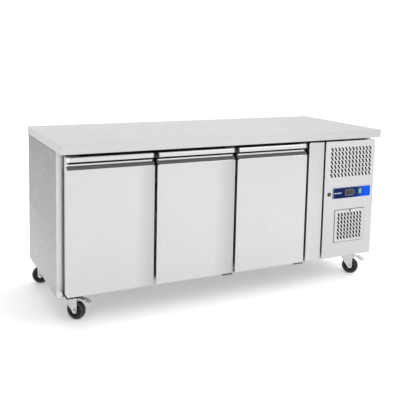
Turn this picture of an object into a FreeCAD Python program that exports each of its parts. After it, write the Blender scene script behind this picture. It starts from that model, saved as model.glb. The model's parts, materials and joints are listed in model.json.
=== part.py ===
"""Three-door refrigerated counter on castors, with its machine compartment at the right end.

The row's frame: +Z up, +X to the right as seen from the front, +Y to the back. The origin is on the
floor, under the middle of the worktop. All sizes are millimetres. The driving dimensions are cells of
the sheet "dims"; every expression below is written with those aliases.
"""
import FreeCAD, Part
import math
import os
import re

import Sketcher

Vector, Rotation, Placement = FreeCAD.Vector, FreeCAD.Rotation, FreeCAD.Placement

doc = FreeCAD.newDocument("refrigerated_counter")

# ---------------------------------------------------------------- driving dimensions

SIZES = {
    # the whole counter
    "worktop_length": 1795, "worktop_depth": 700, "worktop_height": 850, "worktop_thickness": 40,
    "worktop_corner": 3, "worktop_return": 60, "core_clearance": 2,
    # the cabinet under it; planes are Y values
    "sheet": 0.8, "skin_gap": 0.3, "body_half": 895.5, "body_bottom": 132, "body_back": 340,
    "frame_plane": -268, "frame_depth": 12, "return_left": 42.5, "return_right": 29.5,
    "back_return": 20,
    # the cold room inside it
    "room_left": -830, "room_right": 522, "room_floor": 192, "room_ceiling": 756, "room_back": 288,
    "wall_foam": 50,
    # doors: equal, side by side, all flush with door_plane
    "door_plane": -345, "door_side": 865, "door_width": 416, "door_gap": 14, "door_thickness": 50,
    "door_bottom": 156, "door_top": 793, "door_face_top": 734, "frame_overlap": 35,
    "liner_inset": 6, "liner_depth": 8, "seal_inset": 12, "seal_width": 14, "seal_clearance": 1.5,
    "door_lift": 4,
    # the handle channel along each door's top; depths are from the door's face
    "handle_wall": 2, "nose_height": 21, "nose_wall": 5, "grip_depth": 26, "grip_top": 784,
    "grip_floor": 762, "ridge_depth": 17, "ridge_foot": 753, "cap_width": 8, "hinge_block": 22,
    "nose_chamfer": 4, "grip_chamfer": 3, "foot_lip": 2,
    # pivots: how far the pin stands in from the door's edge and from its face
    "pin_inset": 12, "pin_depth": 20, "pin_radius": 4, "running_fit": 0.05, "bracket_width": 55,
    "bracket_thickness": 4, "bracket_flange": 3, "bracket_margin": 3, "pin_length": 14,
    "bush_radius": 6, "bush_flange": 8.5, "bush_length": 16, "washer_height": 3.5, "bush_lip": 3,
    # shelves and their supports
    "shelf_width": 325, "shelf_front": -236, "shelf_back": 282, "shelf_level": 470,
    "frame_wire": 3, "grid_wire": 1.6, "upright_reach": 173, "upright_width": 8,
    "upright_front": -238, "upright_back": 240, "upright_depth": 22, "runner_width": 15,
    "runner_height": 12,
    # pillar cover and machine panel
    "pillar_left": 425, "pillar_right": 520, "panel_left": 532, "panel_top": 797, "panel_back": -272,
    "vent_left": 564.5, "vent_bottom": 601.5, "vent_pitch": 23.4, "slot_width": 21,
    "slot_bar": 10.5,
    "lock_x": 565.3, "lock_z": 510, "lock_radius": 9.5, "lock_depth": 46, "lock_face": 1.7,
    "lock_stand": 2, "cam_length": 17, "cam_half": 6, "cam_thickness": 3, "cam_plane": -303,
    "keeper_half": 16, "keeper_thickness": 2, "keeper_reach": 38,
    "fascia_left": 591, "fascia_right": 844, "fascia_bottom": 483, "fascia_top": 541.5,
    "fascia_stand": 3, "housing_depth": 32, "window_left": 673, "window_right": 725,
    "window_bottom": 499, "window_top": 527, "key_left": 731, "key_side": 9, "key_travel": 1.2,
    "switch_left": 762, "switch_right": 785, "switch_bottom": 499.5, "switch_top": 531,
    "flap_left": 609, "flap_right": 810, "flap_bottom": 240, "flap_top": 418, "flap_thickness": 2,
    "flap_vent_left": 624.8, "flap_vent_bottom": 254.3, "flap_pitch": 21.3, "flap_slot": 19.2,
    # machine compartment
    "bay_left": 574, "condenser_left": 592, "condenser_right": 838, "condenser_bottom": 168,
    "condenser_top": 432, "condenser_front": -228, "condenser_depth": 56, "shroud_depth": 14,
    "fan_radius": 100, "fan_hub": 24, "fan_axis_x": 715, "fan_axis_z": 300, "motor_radius": 40,
    "compressor_x": 690, "compressor_y": 150, "compressor_radius": 74, "compressor_height": 190,
    "pot_foot_x": 78, "pot_foot_y": 48, "pot_foot_height": 14, "pot_foot_radius": 11,
    "pot_plate_margin": 14, "pot_plate_thickness": 3, "starter_half": 30, "starter_reach": 26,
    "pipe_radius": 4, "pipe_bend": 18, "discharge_offset": 42, "drier_radius": 12,
    "drier_length": 90, "liquid_level": 520, "suction_level": 560, "fin_pitch": 4, "fin_gap": 2.8,
    # cable entry in the back
    "gland_x": 800, "gland_z": 240, "gland_bore": 4.5, "gland_body": 8, "gland_length": 22,
    "gland_nut": 16, "nut_thickness": 6, "entry_half_width": 9, "entry_half_height": 14,
    # evaporator at the right end of the cold room
    "evaporator_left": 424, "cover_front": -246, "coil_depth": 62, "coil_front": -210,
    "coil_back": 250, "coil_bottom": 260, "coil_top": 440, "cold_fan_radius": 80,
    "cold_fan_y": 20, "cold_fan_z": 560, "cold_fan_hub": 18, "return_width": 30,
    "return_pitch": 46, "return_bottom": 230, "return_top": 300, "fan_hub_length": 22,
    # castors: front pair and rear pair; the wheel trails behind its swivel
    "castor_front_x": 812, "castor_front_y": -207, "castor_rear_x": 822, "castor_rear_y": 278,
    "castor_plate_length": 95, "castor_plate_width": 76, "castor_plate_thickness": 3.5,
    "race_radius": 27, "race_height": 7, "king_radius": 6, "crown_top": 119, "crown_thickness": 6,
    "wheel_radius": 45, "wheel_half": 13.5, "hub_radius": 33, "axle_radius": 5, "castor_trail": 28,
    "fork_half": 20.5, "fork_gap": 17.5, "pedal_x": 34, "pedal_z": 104, "pedal_half": 15,
}

dims = doc.addObject("Spreadsheet::Sheet", "dims")
for row, (alias, value) in enumerate(SIZES.items(), 1):
    dims.set(f"A{row}", alias)
    dims.set(f"B{row}", str(value))
    dims.setAlias(f"B{row}", alias)
doc.recompute()

WORD = re.compile(r"\b(" + "|".join(SIZES) + r")\b")
NODES = {}


def bound(expression):
    """The expression with each alias pointing at its cell."""
    return WORD.sub(r"dims.\1", str(expression))


def number(expression):
    """What the expression comes to, for shapes that are not bound to cells."""
    return float(dims.evalExpression(bound(expression)))


def node(part, label):
    """Registers a finished sub-part under the name that its file carries."""
    part.Label = label
    NODES[label] = part
    return part


# ---------------------------------------------------------------- primitives and booleans

TURN = {
    "x": Rotation(Vector(0, 1, 0), 90),
    "y": Rotation(Vector(1, 0, 0), -90),
    "z": Rotation(),
}


def bind(part, paths):
    for path, expression in paths.items():
        part.setExpression(path, bound(expression))
    return part


def box(name, x, y, z):
    """A block; each axis is a (low, high) pair of expressions."""
    block = doc.addObject("Part::Box", name)
    for side, axis, (low, high) in (("Length", "x", x), ("Width", "y", y), ("Height", "z", z)):
        bind(block, {side: f"({high}) - ({low})", f"Placement.Base.{axis}": low})
    return block


def rod(name, radius, length, start, axis="z"):
    """A cylinder that runs from start along a positive axis."""
    bar = doc.addObject("Part::Cylinder", name)
    bar.Placement = Placement(Vector(), TURN[axis])
    bind(bar, {"Radius": radius, "Height": length})
    return bind(bar, {f"Placement.Base.{a}": place for a, place in zip("xyz", start)})


def fuse(name, *parts):
    joined = doc.addObject("Part::MultiFuse", name)
    joined.Shapes = list(parts)
    return joined


def cut(name, base, *tools):
    piece = doc.addObject("Part::Cut", name)
    piece.Base = base
    piece.Tool = tools[0] if len(tools) == 1 else fuse(f"{name}_tools", *tools)
    return piece


def group(name, *parts):
    """Separate solids that share a node."""
    together = doc.addObject("Part::Compound", name)
    together.Links = list(parts)
    return together


def pan(name, x, y, z, opening):
    """A folded sheet tray: a block hollowed to the sheet's thickness and open on one side."""
    hollow = {}
    for axis, (low, high) in zip("xyz", (x, y, z)):
        low_side = f"({low}) - 5" if opening == f"-{axis}" else f"({low}) + sheet"
        high_side = f"({high}) + 5" if opening == f"+{axis}" else f"({high}) - sheet"
        hollow[axis] = (low_side, high_side)
    return cut(name, box(f"{name}_block", x, y, z), box(f"{name}_hollow", *hollow.values()))


# ---------------------------------------------------------------- PartDesign bodies

def body(name):
    return doc.addObject("PartDesign::Body", name)


def outline(owner, name, plane, loops, offset):
    """Closed loops on one of the body's own planes, each corner dimensioned from the origin."""
    sketch = owner.newObject("Sketcher::SketchObject", name)
    face = next(f for f in owner.Origin.OriginFeatures if f.Role == plane)
    sketch.AttachmentSupport = [(face, "")]
    sketch.MapMode = "FlatFace"
    sketch.setExpression("AttachmentOffset.Base.z", bound(offset))
    for corners in loops:
        first = sketch.GeometryCount
        points = [Vector(number(u), number(v), 0) for u, v in corners]
        for start, end in zip(points, points[1:] + points[:1]):
            sketch.addGeometry(Part.LineSegment(start, end), False)
        for i, (u, v) in enumerate(corners):
            after = first + (i + 1) % len(corners)
            sketch.addConstraint(Sketcher.Constraint("Coincident", first + i, 2, after, 1))
            for kind, place in (("DistanceX", u), ("DistanceY", v)):
                size = Sketcher.Constraint(kind, -1, 1, first + i, 1, number(place))
                index = sketch.addConstraint(size)
                sketch.setExpression(f"Constraints[{index}]", bound(place))
    return sketch


def rectangle(u, v):
    return [(u[0], v[0]), (u[1], v[0]), (u[1], v[1]), (u[0], v[1])]


def pad(owner, name, plane, loops, low, high):
    """Adds the loops' outline between two levels along the plane's normal axis."""
    offset = f"-({high})" if plane == "XZ_Plane" else low
    feature = owner.newObject("PartDesign::Pad", name)
    feature.Profile = outline(owner, f"{name}_outline", plane, loops, offset)
    feature.setExpression("Length", bound(f"({high}) - ({low})"))
    return feature


def pocket(owner, name, plane, loops, low, high):
    """Removes the loops' outline between two levels; stops if nothing was removed."""
    doc.recompute()
    before = owner.Shape.Volume
    offset = f"-({low})" if plane == "XZ_Plane" else high
    feature = owner.newObject("PartDesign::Pocket", name)
    feature.Profile = outline(owner, f"{name}_outline", plane, loops, offset)
    feature.setExpression("Length", bound(f"({high}) - ({low})"))
    doc.recompute()
    if not owner.Shape.Volume < before:
        raise RuntimeError(f"{name} removed nothing")
    return feature


def grid(owner, name, feature, columns, rows, pitch):
    """Repeats a pocket along its outline's two axes; the pitch is an expression."""
    sketch = feature.Profile[0]
    pattern = owner.newObject("PartDesign::LinearPattern", name)
    pattern.Originals = [feature]
    pattern.Direction, pattern.Direction2 = (sketch, ["H_Axis"]), (sketch, ["V_Axis"])
    pattern.Mode = pattern.Mode2 = "Extent"
    pattern.Occurrences, pattern.Occurrences2 = columns, rows
    owner.Tip = pattern
    return bind(pattern, {"Length": f"{columns - 1} * ({pitch})",
                          "Length2": f"{rows - 1} * ({pitch})"})


def row_of(owner, name, feature, count, pitch, axis="H_Axis"):
    """Repeats a pocket along one axis of its outline."""
    pattern = owner.newObject("PartDesign::LinearPattern", name)
    pattern.Originals = [feature]
    pattern.Direction = (feature.Profile[0], [axis])
    pattern.Mode, pattern.Occurrences = "Extent", count
    owner.Tip = pattern
    return bind(pattern, {"Length": f"{count - 1} * ({pitch})"})


def fillet(owner, name, radius, chosen):
    """Rounds the edges of the body that the chosen() test picks."""
    doc.recompute()
    base = owner.Tip
    edges = [f"Edge{i}" for i, e in enumerate(base.Shape.Edges, 1) if chosen(e)]
    feature = owner.newObject("PartDesign::Fillet", name)
    feature.Base = (base, edges)
    feature.setExpression("Radius", bound(radius))
    return feature


def turned(name, corners):
    """A full revolution about the body's own Z axis of an outline in its XZ plane."""
    owner = body(name)
    feature = owner.newObject("PartDesign::Revolution", f"{name}_turn")
    feature.Profile = outline(owner, f"{name}_outline", "XZ_Plane", [corners], 0)
    feature.ReferenceAxis = (feature.Profile[0], ["V_Axis"])
    feature.Angle = 360
    return owner


def extruded(name, plane, corners, low, high):
    owner = body(name)
    pad(owner, f"{name}_pad", plane, [corners], low, high)
    return owner


def along(edge, axis):
    """True for a straight edge parallel to an axis vector."""
    if edge.Curve.TypeId != "Part::GeomLine":
        return False
    return edge.tangentAt(edge.FirstParameter).cross(axis).Length < 1e-6


AXIS_X, AXIS_Y, AXIS_Z = Vector(1, 0, 0), Vector(0, 1, 0), Vector(0, 0, 1)

# ---------------------------------------------------------------- worktop and cabinet shell

UNDERSIDE = "worktop_height - worktop_thickness"
HALF_LENGTH, HALF_DEPTH = "worktop_length / 2", "worktop_depth / 2"


def make_worktop():
    """A folded tray, upside down, with a return all round its lower edge."""
    top = body("worktop_body")
    whole = rectangle((f"-{HALF_LENGTH}", HALF_LENGTH), (f"-{HALF_DEPTH}", HALF_DEPTH))
    pad(top, "worktop_slab", "XY_Plane", [whole], UNDERSIDE, "worktop_height")
    fillet(top, "worktop_corners", "worktop_corner", lambda e: along(e, AXIS_Z))
    inside = [(f"{u} * ({HALF_LENGTH} - sheet)", f"{v} * ({HALF_DEPTH} - sheet)")
              for u, v in ((-1, -1), (1, -1), (1, 1), (-1, 1))]
    pocket(top, "worktop_hollow", "XY_Plane", [inside], UNDERSIDE, "worktop_height - sheet")
    hole = [(f"{u} * ({HALF_LENGTH} - worktop_return)", f"{v} * ({HALF_DEPTH} - worktop_return)")
            for u, v in ((-1, -1), (1, -1), (1, 1), (-1, 1))]
    pad(top, "worktop_lip", "XY_Plane", [inside, hole], UNDERSIDE, f"{UNDERSIDE} + sheet")
    node(top, "worktop")


def make_shell():
    """Side panels with their returns, the back and the base."""
    for side, word in ((-1, "left"), (1, "right")):
        profile = [
            (f"{side} * body_half", "frame_plane"),
            (f"{side} * (body_half - return_{word})", "frame_plane"),
            (f"{side} * (body_half - return_{word})", "frame_plane + sheet"),
            (f"{side} * (body_half - sheet)", "frame_plane + sheet"),
            (f"{side} * (body_half - sheet)", "body_back - sheet"),
            (f"{side} * (body_half - back_return)", "body_back - sheet"),
            (f"{side} * (body_half - back_return)", "body_back"),
            (f"{side} * body_half", "body_back"),
        ]
        panel = extruded(f"side_{word}", "XY_Plane", profile, "body_bottom", UNDERSIDE)
        node(panel, f"side_panel_{word}")
    make_back()
    inner = "body_half - sheet - skin_gap"
    node(box("base_sheet", (f"-({inner})", inner),
             ("frame_plane + sheet + skin_gap", "body_back - sheet - skin_gap"),
             ("body_bottom", "body_bottom + sheet")), "base_panel")


def make_back():
    """The back sheet, and behind the machines two covers with a pair of cable entry plates between."""
    edge, seam = "body_half - back_return - skin_gap", "bay_left + 3"
    y = ("body_back - sheet", "body_back")
    low, high = "body_bottom + sheet", UNDERSIDE
    bay = (f"{seam} + skin_gap", edge)
    entry = ("gland_z - entry_half_height", "gland_z + entry_half_height")
    sheets = {
        "main": ((f"-({edge})", seam), (low, high)),
        "lower": (bay, (low, f"{entry[0]} - skin_gap")),
        "upper": (bay, (f"{entry[1]} + skin_gap", high)),
        "entry_left": ((bay[0], "gland_x - entry_half_width"), entry),
        "entry_right": (("gland_x + entry_half_width", edge), entry),
    }
    pieces = [box(f"back_{name}", x, y, z) for name, (x, z) in sheets.items()]
    node(group("back_sheets", *pieces), "back_panel")


def make_cold_room():
    """The steel liner, the foam slabs round it and the partition of the machine compartment."""
    room = {"x": ("room_left", "room_right"), "z": ("room_floor", "room_ceiling")}
    front = "frame_plane + frame_depth"
    liner = cut(
        "liner_cut",
        box("liner_block", ("room_left - sheet", "room_right + sheet"),
            (front, "room_back + sheet"), ("room_floor - sheet", "room_ceiling + sheet")),
        box("liner_room", room["x"], (f"{front} - 5", "room_back"), room["z"]))
    node(liner, "inner_liner")
    low, high = "body_bottom + sheet + skin_gap", f"{UNDERSIDE} - skin_gap"
    left, right = "room_left - sheet - skin_gap", "room_right + sheet + skin_gap"
    near, far = f"{front} + skin_gap", "body_back - sheet - skin_gap"
    back = "room_back + sheet + skin_gap"
    core_x = f"{HALF_LENGTH} - worktop_return - core_clearance"
    core_y = f"{HALF_DEPTH} - worktop_return - core_clearance"
    slabs = {
        "left": (("-(body_half - sheet - skin_gap)", left), (near, far), (low, high)),
        "right": ((right, "bay_left - skin_gap"), (near, far), (low, high)),
        "back": ((left, right), (back, far), (low, high)),
        "floor": ((left, right), (near, back), (low, "room_floor - sheet - skin_gap")),
        "ceiling": ((left, right), (near, back), ("room_ceiling + sheet + skin_gap", high)),
        "worktop": ((f"-({core_x})", core_x), (f"-({core_y})", core_y),
                    (f"{UNDERSIDE} + core_clearance", "worktop_height - sheet - skin_gap")),
    }
    foam = [box(f"foam_{name}", *corners) for name, corners in slabs.items()]
    node(group("foam", *foam), "cabinet_insulation")
    node(box("partition", ("bay_left", "bay_left + sheet"), (near, far), (low, high)),
         "bay_partition")


# ---------------------------------------------------------------- front frame

def door_edges(i):
    """Expressions for the left and right edges of door i, counted from 0."""
    left = f"(-door_side + {i} * (door_width + door_gap))"
    return left, f"({left} + door_width)"


def opening_edges(i):
    left, right = door_edges(i)
    return f"{left} + frame_overlap", f"{right} - frame_overlap"


def make_front_frame():
    """Rails from side to side, the posts between the doors, and the keeper for the lock."""
    y = ("frame_plane", "frame_plane + frame_depth")
    outer_left = "-(body_half - return_left - skin_gap)"
    outer_right = "body_half - return_right - skin_gap"
    middle = ("room_floor", "room_ceiling")
    posts = [("post_left", outer_left, opening_edges(0)[0])]
    posts += [(f"mullion_{i + 1}", opening_edges(i)[1], opening_edges(i + 1)[0]) for i in range(2)]
    posts += [("post_right", opening_edges(2)[1], "bay_left + sheet")]
    bars = [pan(name, (low, high), y, middle, "+y") for name, low, high in posts]
    low_rail = ("body_bottom + sheet + skin_gap", "room_floor")
    high_rail = ("room_ceiling", f"{UNDERSIDE} - skin_gap")
    for name, z in (("rail_low", low_rail), ("rail_high", high_rail)):
        bars.append(pan(name, (outer_left, outer_right), y, z, "+y"))
    web, lip = "lock_x - 20", "lock_x - 10.5"
    tip = "frame_plane - keeper_reach"
    hook = [
        (web, "frame_plane"), (web, tip), (lip, tip), (lip, f"{tip} + keeper_thickness"),
        (f"{web} + keeper_thickness", f"{tip} + keeper_thickness"),
        (f"{web} + keeper_thickness", "frame_plane"),
    ]
    bars.append(extruded("lock_keeper", "XY_Plane", hook, "lock_z - keeper_half",
                         "lock_z + keeper_half"))
    node(group("frame_bars", *bars), "front_frame")
    pillar = pan("pillar", ("pillar_left", "pillar_right"), ("door_plane", "frame_plane"),
                 ("door_bottom", "panel_top"), "+y")
    node(pillar, "pillar_cover")


# ---------------------------------------------------------------- doors

HANDLE_OUTLINE = [
    ("door_plane + door_thickness", "door_face_top"),
    ("door_plane + door_thickness", "door_top"),
    ("door_plane + nose_chamfer", "door_top"),
    ("door_plane", "door_top - nose_chamfer - 1"),
    ("door_plane", "door_top - nose_height"),
    ("door_plane + nose_wall", "door_top - nose_height"),
    ("door_plane + nose_wall", "grip_top"),
    ("door_plane + grip_depth", "grip_top"),
    ("door_plane + grip_depth", "grip_floor + grip_chamfer"),
    ("door_plane + grip_depth - grip_chamfer", "grip_floor"),
    ("door_plane + ridge_depth + 2", "grip_floor"),
    ("door_plane + ridge_depth", "grip_floor - 2"),
    ("door_plane + ridge_depth", "ridge_foot"),
    ("door_plane", "door_face_top + foot_lip"),
    ("door_plane", "door_face_top"),
]

HANDLE_HOLLOW = [
    ("door_plane + door_thickness - handle_wall", "door_face_top + handle_wall"),
    ("door_plane + door_thickness - handle_wall", "door_top - handle_wall"),
    ("door_plane + grip_depth + handle_wall", "door_top - handle_wall"),
    ("door_plane + grip_depth + handle_wall", "grip_floor"),
    ("door_plane + grip_depth", "grip_floor - handle_wall"),
    ("door_plane + ridge_depth + handle_wall", "grip_floor - handle_wall - 1"),
    ("door_plane + ridge_depth + handle_wall", "ridge_foot - 1"),
    ("door_plane + 5", "door_face_top + handle_wall"),
]

HINGES = ("left", "right", "right")


def pin_x(i):
    """Where door i's pins stand: near its left or its right edge."""
    left, right = door_edges(i)
    return f"{left} + pin_inset" if HINGES[i] == "left" else f"{right} - pin_inset"


def make_door(i):
    left, right = door_edges(i)
    number_of = i + 1
    hinge_left = HINGES[i] == "left"
    pin = (pin_x(i), "door_plane + pin_depth")
    bore = "pin_radius + running_fit"

    tray = pan(f"skin_{i}", (left, right), ("door_plane", "door_plane + door_thickness"),
               ("door_bottom", "door_face_top"), "+y")
    hole = rod(f"skin_hole_{i}", "bush_radius + running_fit", "bush_length",
               (*pin, "door_bottom - 5"))
    node(cut(f"skin_cut_{i}", tray, hole), f"door_{number_of}_skin")

    low = f"{left} + hinge_block" if hinge_left else f"{left} + cap_width"
    high = f"{right} - cap_width" if hinge_left else f"{right} - hinge_block"
    handle = extruded(f"handle_{i}", "YZ_Plane", HANDLE_OUTLINE, low, high)
    pocket(handle, f"handle_hollow_{i}", "YZ_Plane", [HANDLE_HOLLOW], low, high)
    node(handle, f"door_{number_of}_handle")

    block = extruded(f"cap_block_{i}", "YZ_Plane", HANDLE_OUTLINE,
                     *((left, low) if hinge_left else (high, right)))
    bored = cut(f"cap_bored_{i}", block,
                rod(f"cap_bore_{i}", bore, "pin_length + 6", (*pin, "door_top - pin_length")))
    plain = extruded(f"cap_plain_{i}", "YZ_Plane", HANDLE_OUTLINE,
                     *((high, right) if hinge_left else (left, low)))
    washer = cut(f"washer_{i}",
                 rod(f"washer_ring_{i}", "bush_flange", "washer_height", (*pin, "door_top")),
                 rod(f"washer_bore_{i}", bore, "washer_height + 4", (*pin, "door_top - 2")))
    foot = fuse(f"foot_bush_solid_{i}",
                rod(f"foot_bush_{i}", "bush_radius", "bush_length", (*pin, "door_bottom - 1")),
                rod(f"foot_flange_{i}", "bush_flange", "bush_lip", (*pin, "door_bottom - bush_lip")))
    foot = cut(f"foot_bored_{i}", foot,
               rod(f"foot_bore_{i}", bore, "2 * bush_length", (*pin, "door_bottom - 6")))
    node(group(f"caps_{i}", bored, plain, washer, foot), f"door_{number_of}_end_caps")

    back = "door_plane + door_thickness"
    liner = pan(f"liner_{i}", (f"{left} + liner_inset", f"{right} - liner_inset"),
                (back, f"{back} + liner_depth"),
                ("door_bottom + liner_inset", "door_top - liner_inset"), "-y")
    node(liner, f"door_{number_of}_liner")

    y = (f"{back} + liner_depth", "frame_plane - seal_clearance")
    x = (f"{left} + seal_inset", f"{right} - seal_inset")
    z = ("door_bottom + seal_inset", "door_top - seal_inset")
    inner = (f"{z[0]} + seal_width", f"{z[1]} - seal_width")
    strips = [
        box(f"seal_low_{i}", x, y, (z[0], inner[0])),
        box(f"seal_high_{i}", x, y, (inner[1], z[1])),
        box(f"seal_left_{i}", (x[0], f"{x[0]} + seal_width"), y, inner),
        box(f"seal_right_{i}", (f"{x[1]} - seal_width", x[1]), y, inner),
    ]
    node(group(f"seal_{i}", *strips), f"door_{number_of}_seal")


def make_hinges():
    """Angle brackets above and below each door and the pins that stand on them."""
    brackets, pins = [], []
    for i in range(3):
        left, right = door_edges(i)
        if HINGES[i] == "left":
            x = (f"{left} - bracket_margin", f"{left} + bracket_width")
        else:
            x = (f"{right} - bracket_width", f"{right} + bracket_margin")
        reach = ("door_plane + bracket_margin", "frame_plane")
        root = ("frame_plane - bracket_flange", "frame_plane")
        low_top, high_low = "door_bottom - door_lift", "door_top + door_lift"
        levels = {
            "low": ((f"{low_top} - bracket_thickness", low_top), ("body_bottom + 2", low_top)),
            "high": ((high_low, f"{high_low} + bracket_thickness"),
                     (high_low, f"{UNDERSIDE} - 1")),
        }
        for name, (plate, flange) in levels.items():
            brackets.append(fuse(f"bracket_{name}_{i}",
                                 box(f"bracket_plate_{name}_{i}", x, reach, plate),
                                 box(f"bracket_root_{name}_{i}", x, root, flange)))
        place = (pin_x(i), "door_plane + pin_depth")
        pins.append(rod(f"pin_low_{i}", "pin_radius", "pin_length", (*place, low_top)))
        pins.append(rod(f"pin_high_{i}", "pin_radius", "pin_length",
                        (*place, f"{high_low} - pin_length")))
    node(group("brackets", *brackets), "hinge_brackets")
    node(group("pins", *pins), "hinge_pins")


# ---------------------------------------------------------------- shelves

def compartment_centre(i):
    left, right = opening_edges(i)
    return f"(({left}) + ({right})) / 2"


SHELF_WIRES = 14


def make_shelf(i):
    """A wire shelf: a round frame, two stiffeners and a grid laid on top."""
    centre = compartment_centre(i)
    half = "(shelf_width / 2 - frame_wire)"
    front, depth = "shelf_front", "(shelf_back - shelf_front)"
    x0 = f"{centre} - {half}"
    wires = [
        rod(f"shelf_{i}_left", "frame_wire", depth, (x0, front, "shelf_level"), "y"),
        rod(f"shelf_{i}_right", "frame_wire", depth, (f"{centre} + {half}", front, "shelf_level"),
            "y"),
    ]
    for j in range(4):
        place = (x0, f"{front} + {j} / 3 * {depth}", "shelf_level")
        wires.append(rod(f"shelf_{i}_bar_{j}", "frame_wire", f"2 * {half}", place, "x"))
    for j in range(1, SHELF_WIRES + 1):
        place = (f"{x0} + {j} / {SHELF_WIRES + 1} * 2 * {half}", front, "shelf_level + frame_wire")
        wires.append(rod(f"shelf_{i}_wire_{j}", "grid_wire", depth, place, "y"))
    node(fuse(f"shelf_{i}_wires", *wires), f"shelf_{i + 1}")


def make_shelf_supports():
    """Slotted uprights in front and behind, and a pair of angle runners for each shelf."""
    pieces = []
    level = "shelf_level - frame_wire"
    for i in range(3):
        centre = compartment_centre(i)
        for side in (-1, 1):
            outer = f"{centre} + {side} * upright_reach"
            inner = f"{outer} - {side} * upright_width"
            tip = f"{inner} - {side} * runner_width"
            x = (outer, inner) if side < 0 else (inner, outer)
            for name in ("front", "back"):
                y = (f"upright_{name}", f"upright_{name} + upright_depth")
                z = ("room_floor + skin_gap", "room_ceiling - skin_gap")
                pieces.append(box(f"upright_{i}_{side + 1}_{name}", x, y, z))
            angle = [(inner, f"{level} - runner_height"), (inner, level), (tip, level),
                     (tip, f"{level} - sheet"), (f"{inner} - {side} * sheet", f"{level} - sheet"),
                     (f"{inner} - {side} * sheet", f"{level} - runner_height")]
            runner = body(f"runner_{i}_{side + 1}")
            pad(runner, f"runner_{i}_{side + 1}_pad", "XZ_Plane", [angle], "upright_front",
                "upright_back + upright_depth")
            pieces.append(runner)
    node(group("supports", *pieces), "shelf_supports")


# ---------------------------------------------------------------- machine panel and controls

def slot(left, bottom, width):
    """One leaning vent slot, its top to the left."""
    return [(left, f"{bottom} + {width}"), (f"{left} + {width} - slot_bar", bottom),
            (f"{left} + {width}", bottom), (f"{left} + slot_bar", f"{bottom} + {width}")]


def make_machine_panel():
    panel = body("panel_body")
    y = ("door_plane", "panel_back")
    face = rectangle(("panel_left", "door_side"), ("door_bottom", "panel_top"))
    pad(panel, "panel_block", "XZ_Plane", [face], *y)
    hollow = rectangle(("panel_left + sheet", "door_side - sheet"),
                       ("door_bottom + sheet", "panel_top - sheet"))
    pocket(panel, "panel_hollow", "XZ_Plane", [hollow], "door_plane + sheet", "panel_back")
    through = ("door_plane - 1", "door_plane + sheet + 1")
    cutouts = [
        rectangle(("fascia_left + 8", "fascia_right - 8"), ("fascia_bottom + 7", "fascia_top - 7")),
        rectangle(("flap_left + 6", "flap_right - 6"), ("flap_bottom + 6", "flap_top - 6")),
    ]
    pocket(panel, "panel_cutouts", "XZ_Plane", cutouts, *through)
    first = slot("vent_left", "vent_bottom", "slot_width")
    vent = pocket(panel, "panel_slot", "XZ_Plane", [first], *through)
    grid(panel, "panel_vents", vent, 12, 7, "vent_pitch")
    bored = cut("panel_bored", panel,
                rod("panel_lock_hole", "lock_radius + running_fit", "20",
                    ("lock_x", "door_plane - 5", "lock_z"), "y"))
    node(bored, "machine_panel")


def make_flap():
    """The lower grille: a framed plate over the panel's cut-out, hinged along its foot."""
    flap = body("flap_body")
    y = ("door_plane - flap_thickness - 0.4", "door_plane - 0.4")
    plate = rectangle(("flap_left", "flap_right"), ("flap_bottom", "flap_top"))
    pad(flap, "flap_plate", "XZ_Plane", [plate], *y)
    first = slot("flap_vent_left", "flap_vent_bottom", "flap_slot")
    vent = pocket(flap, "flap_slot_first", "XZ_Plane", [first], "door_plane - 4", "door_plane + 4")
    grid(flap, "flap_vents", vent, 8, 7, "flap_pitch")
    edge = "flap_left + 7.5"
    ring = [rectangle((edge, "flap_right - 7.5"), ("flap_bottom + 7.5", "flap_top - 7.5")),
            rectangle(("flap_left + 9", "flap_right - 9"), ("flap_bottom + 9", "flap_top - 9"))]
    pad(flap, "flap_rim", "XZ_Plane", ring, "door_plane - 0.4", "door_plane + 8")
    node(flap, "filter_flap")


def make_controls():
    front = "door_plane - fascia_stand"
    back = "door_plane + housing_depth"
    fascia = body("fascia_body")
    plate = rectangle(("fascia_left", "fascia_right"), ("fascia_bottom", "fascia_top"))
    pad(fascia, "fascia_plate", "XZ_Plane", [plate], front, "door_plane")
    rear = rectangle(("fascia_left + 9", "fascia_right - 9"),
                     ("fascia_bottom + 8", "fascia_top - 8"))
    pad(fascia, "fascia_housing", "XZ_Plane", [rear], "door_plane", back)
    window = rectangle(("window_left", "window_right"), ("window_bottom", "window_top"))
    pocket(fascia, "fascia_window", "XZ_Plane", [window], "door_plane - 4", "door_plane - 1")
    keys = [rectangle(("key_left - 0.4", "key_left + key_side + 0.4"),
                      (f"{z} - 0.4", f"{z} + key_side + 0.4")) for z in KEY_LEVELS.values()]
    pocket(fascia, "fascia_keys", "XZ_Plane", keys, "door_plane - 4", "door_plane + 3")
    well = rectangle(("switch_left", "switch_right"), ("switch_bottom", "switch_top"))
    pocket(fascia, "fascia_switch", "XZ_Plane", [well], "door_plane - 4", "door_plane + 22")
    node(fascia, "control_fascia")

    lens = box("window_pane", ("window_left + skin_gap", "window_right - skin_gap"),
               (f"{front} + 0.4", "door_plane - 1"),
               ("window_bottom + skin_gap", "window_top - skin_gap"))
    node(lens, "display_window")
    for name, z in KEY_LEVELS.items():
        node(box(f"{name}_cap", ("key_left", "key_left + key_side"),
                 (f"{front} - 0.4", "door_plane + 3 - key_travel - 0.2"), (z, f"{z} + key_side")),
             name)
    middle = "(switch_bottom + switch_top) / 2"
    rocker = [
        ("door_plane + 1", "switch_bottom + 1.2"), (f"{front} - 1.2", "switch_bottom + 1.6"),
        (f"{front} + 0.6", middle), (f"{front} - 0.1", "switch_top - 1.6"),
        ("door_plane + 1", "switch_top - 1.2"), ("door_plane + 8", middle),
    ]
    node(extruded("rocker", "YZ_Plane", rocker, "switch_left + 1", "switch_right - 1"),
         "power_switch")


KEY_LEVELS = {"key_up": "515.5", "key_down": "501.5"}


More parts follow.
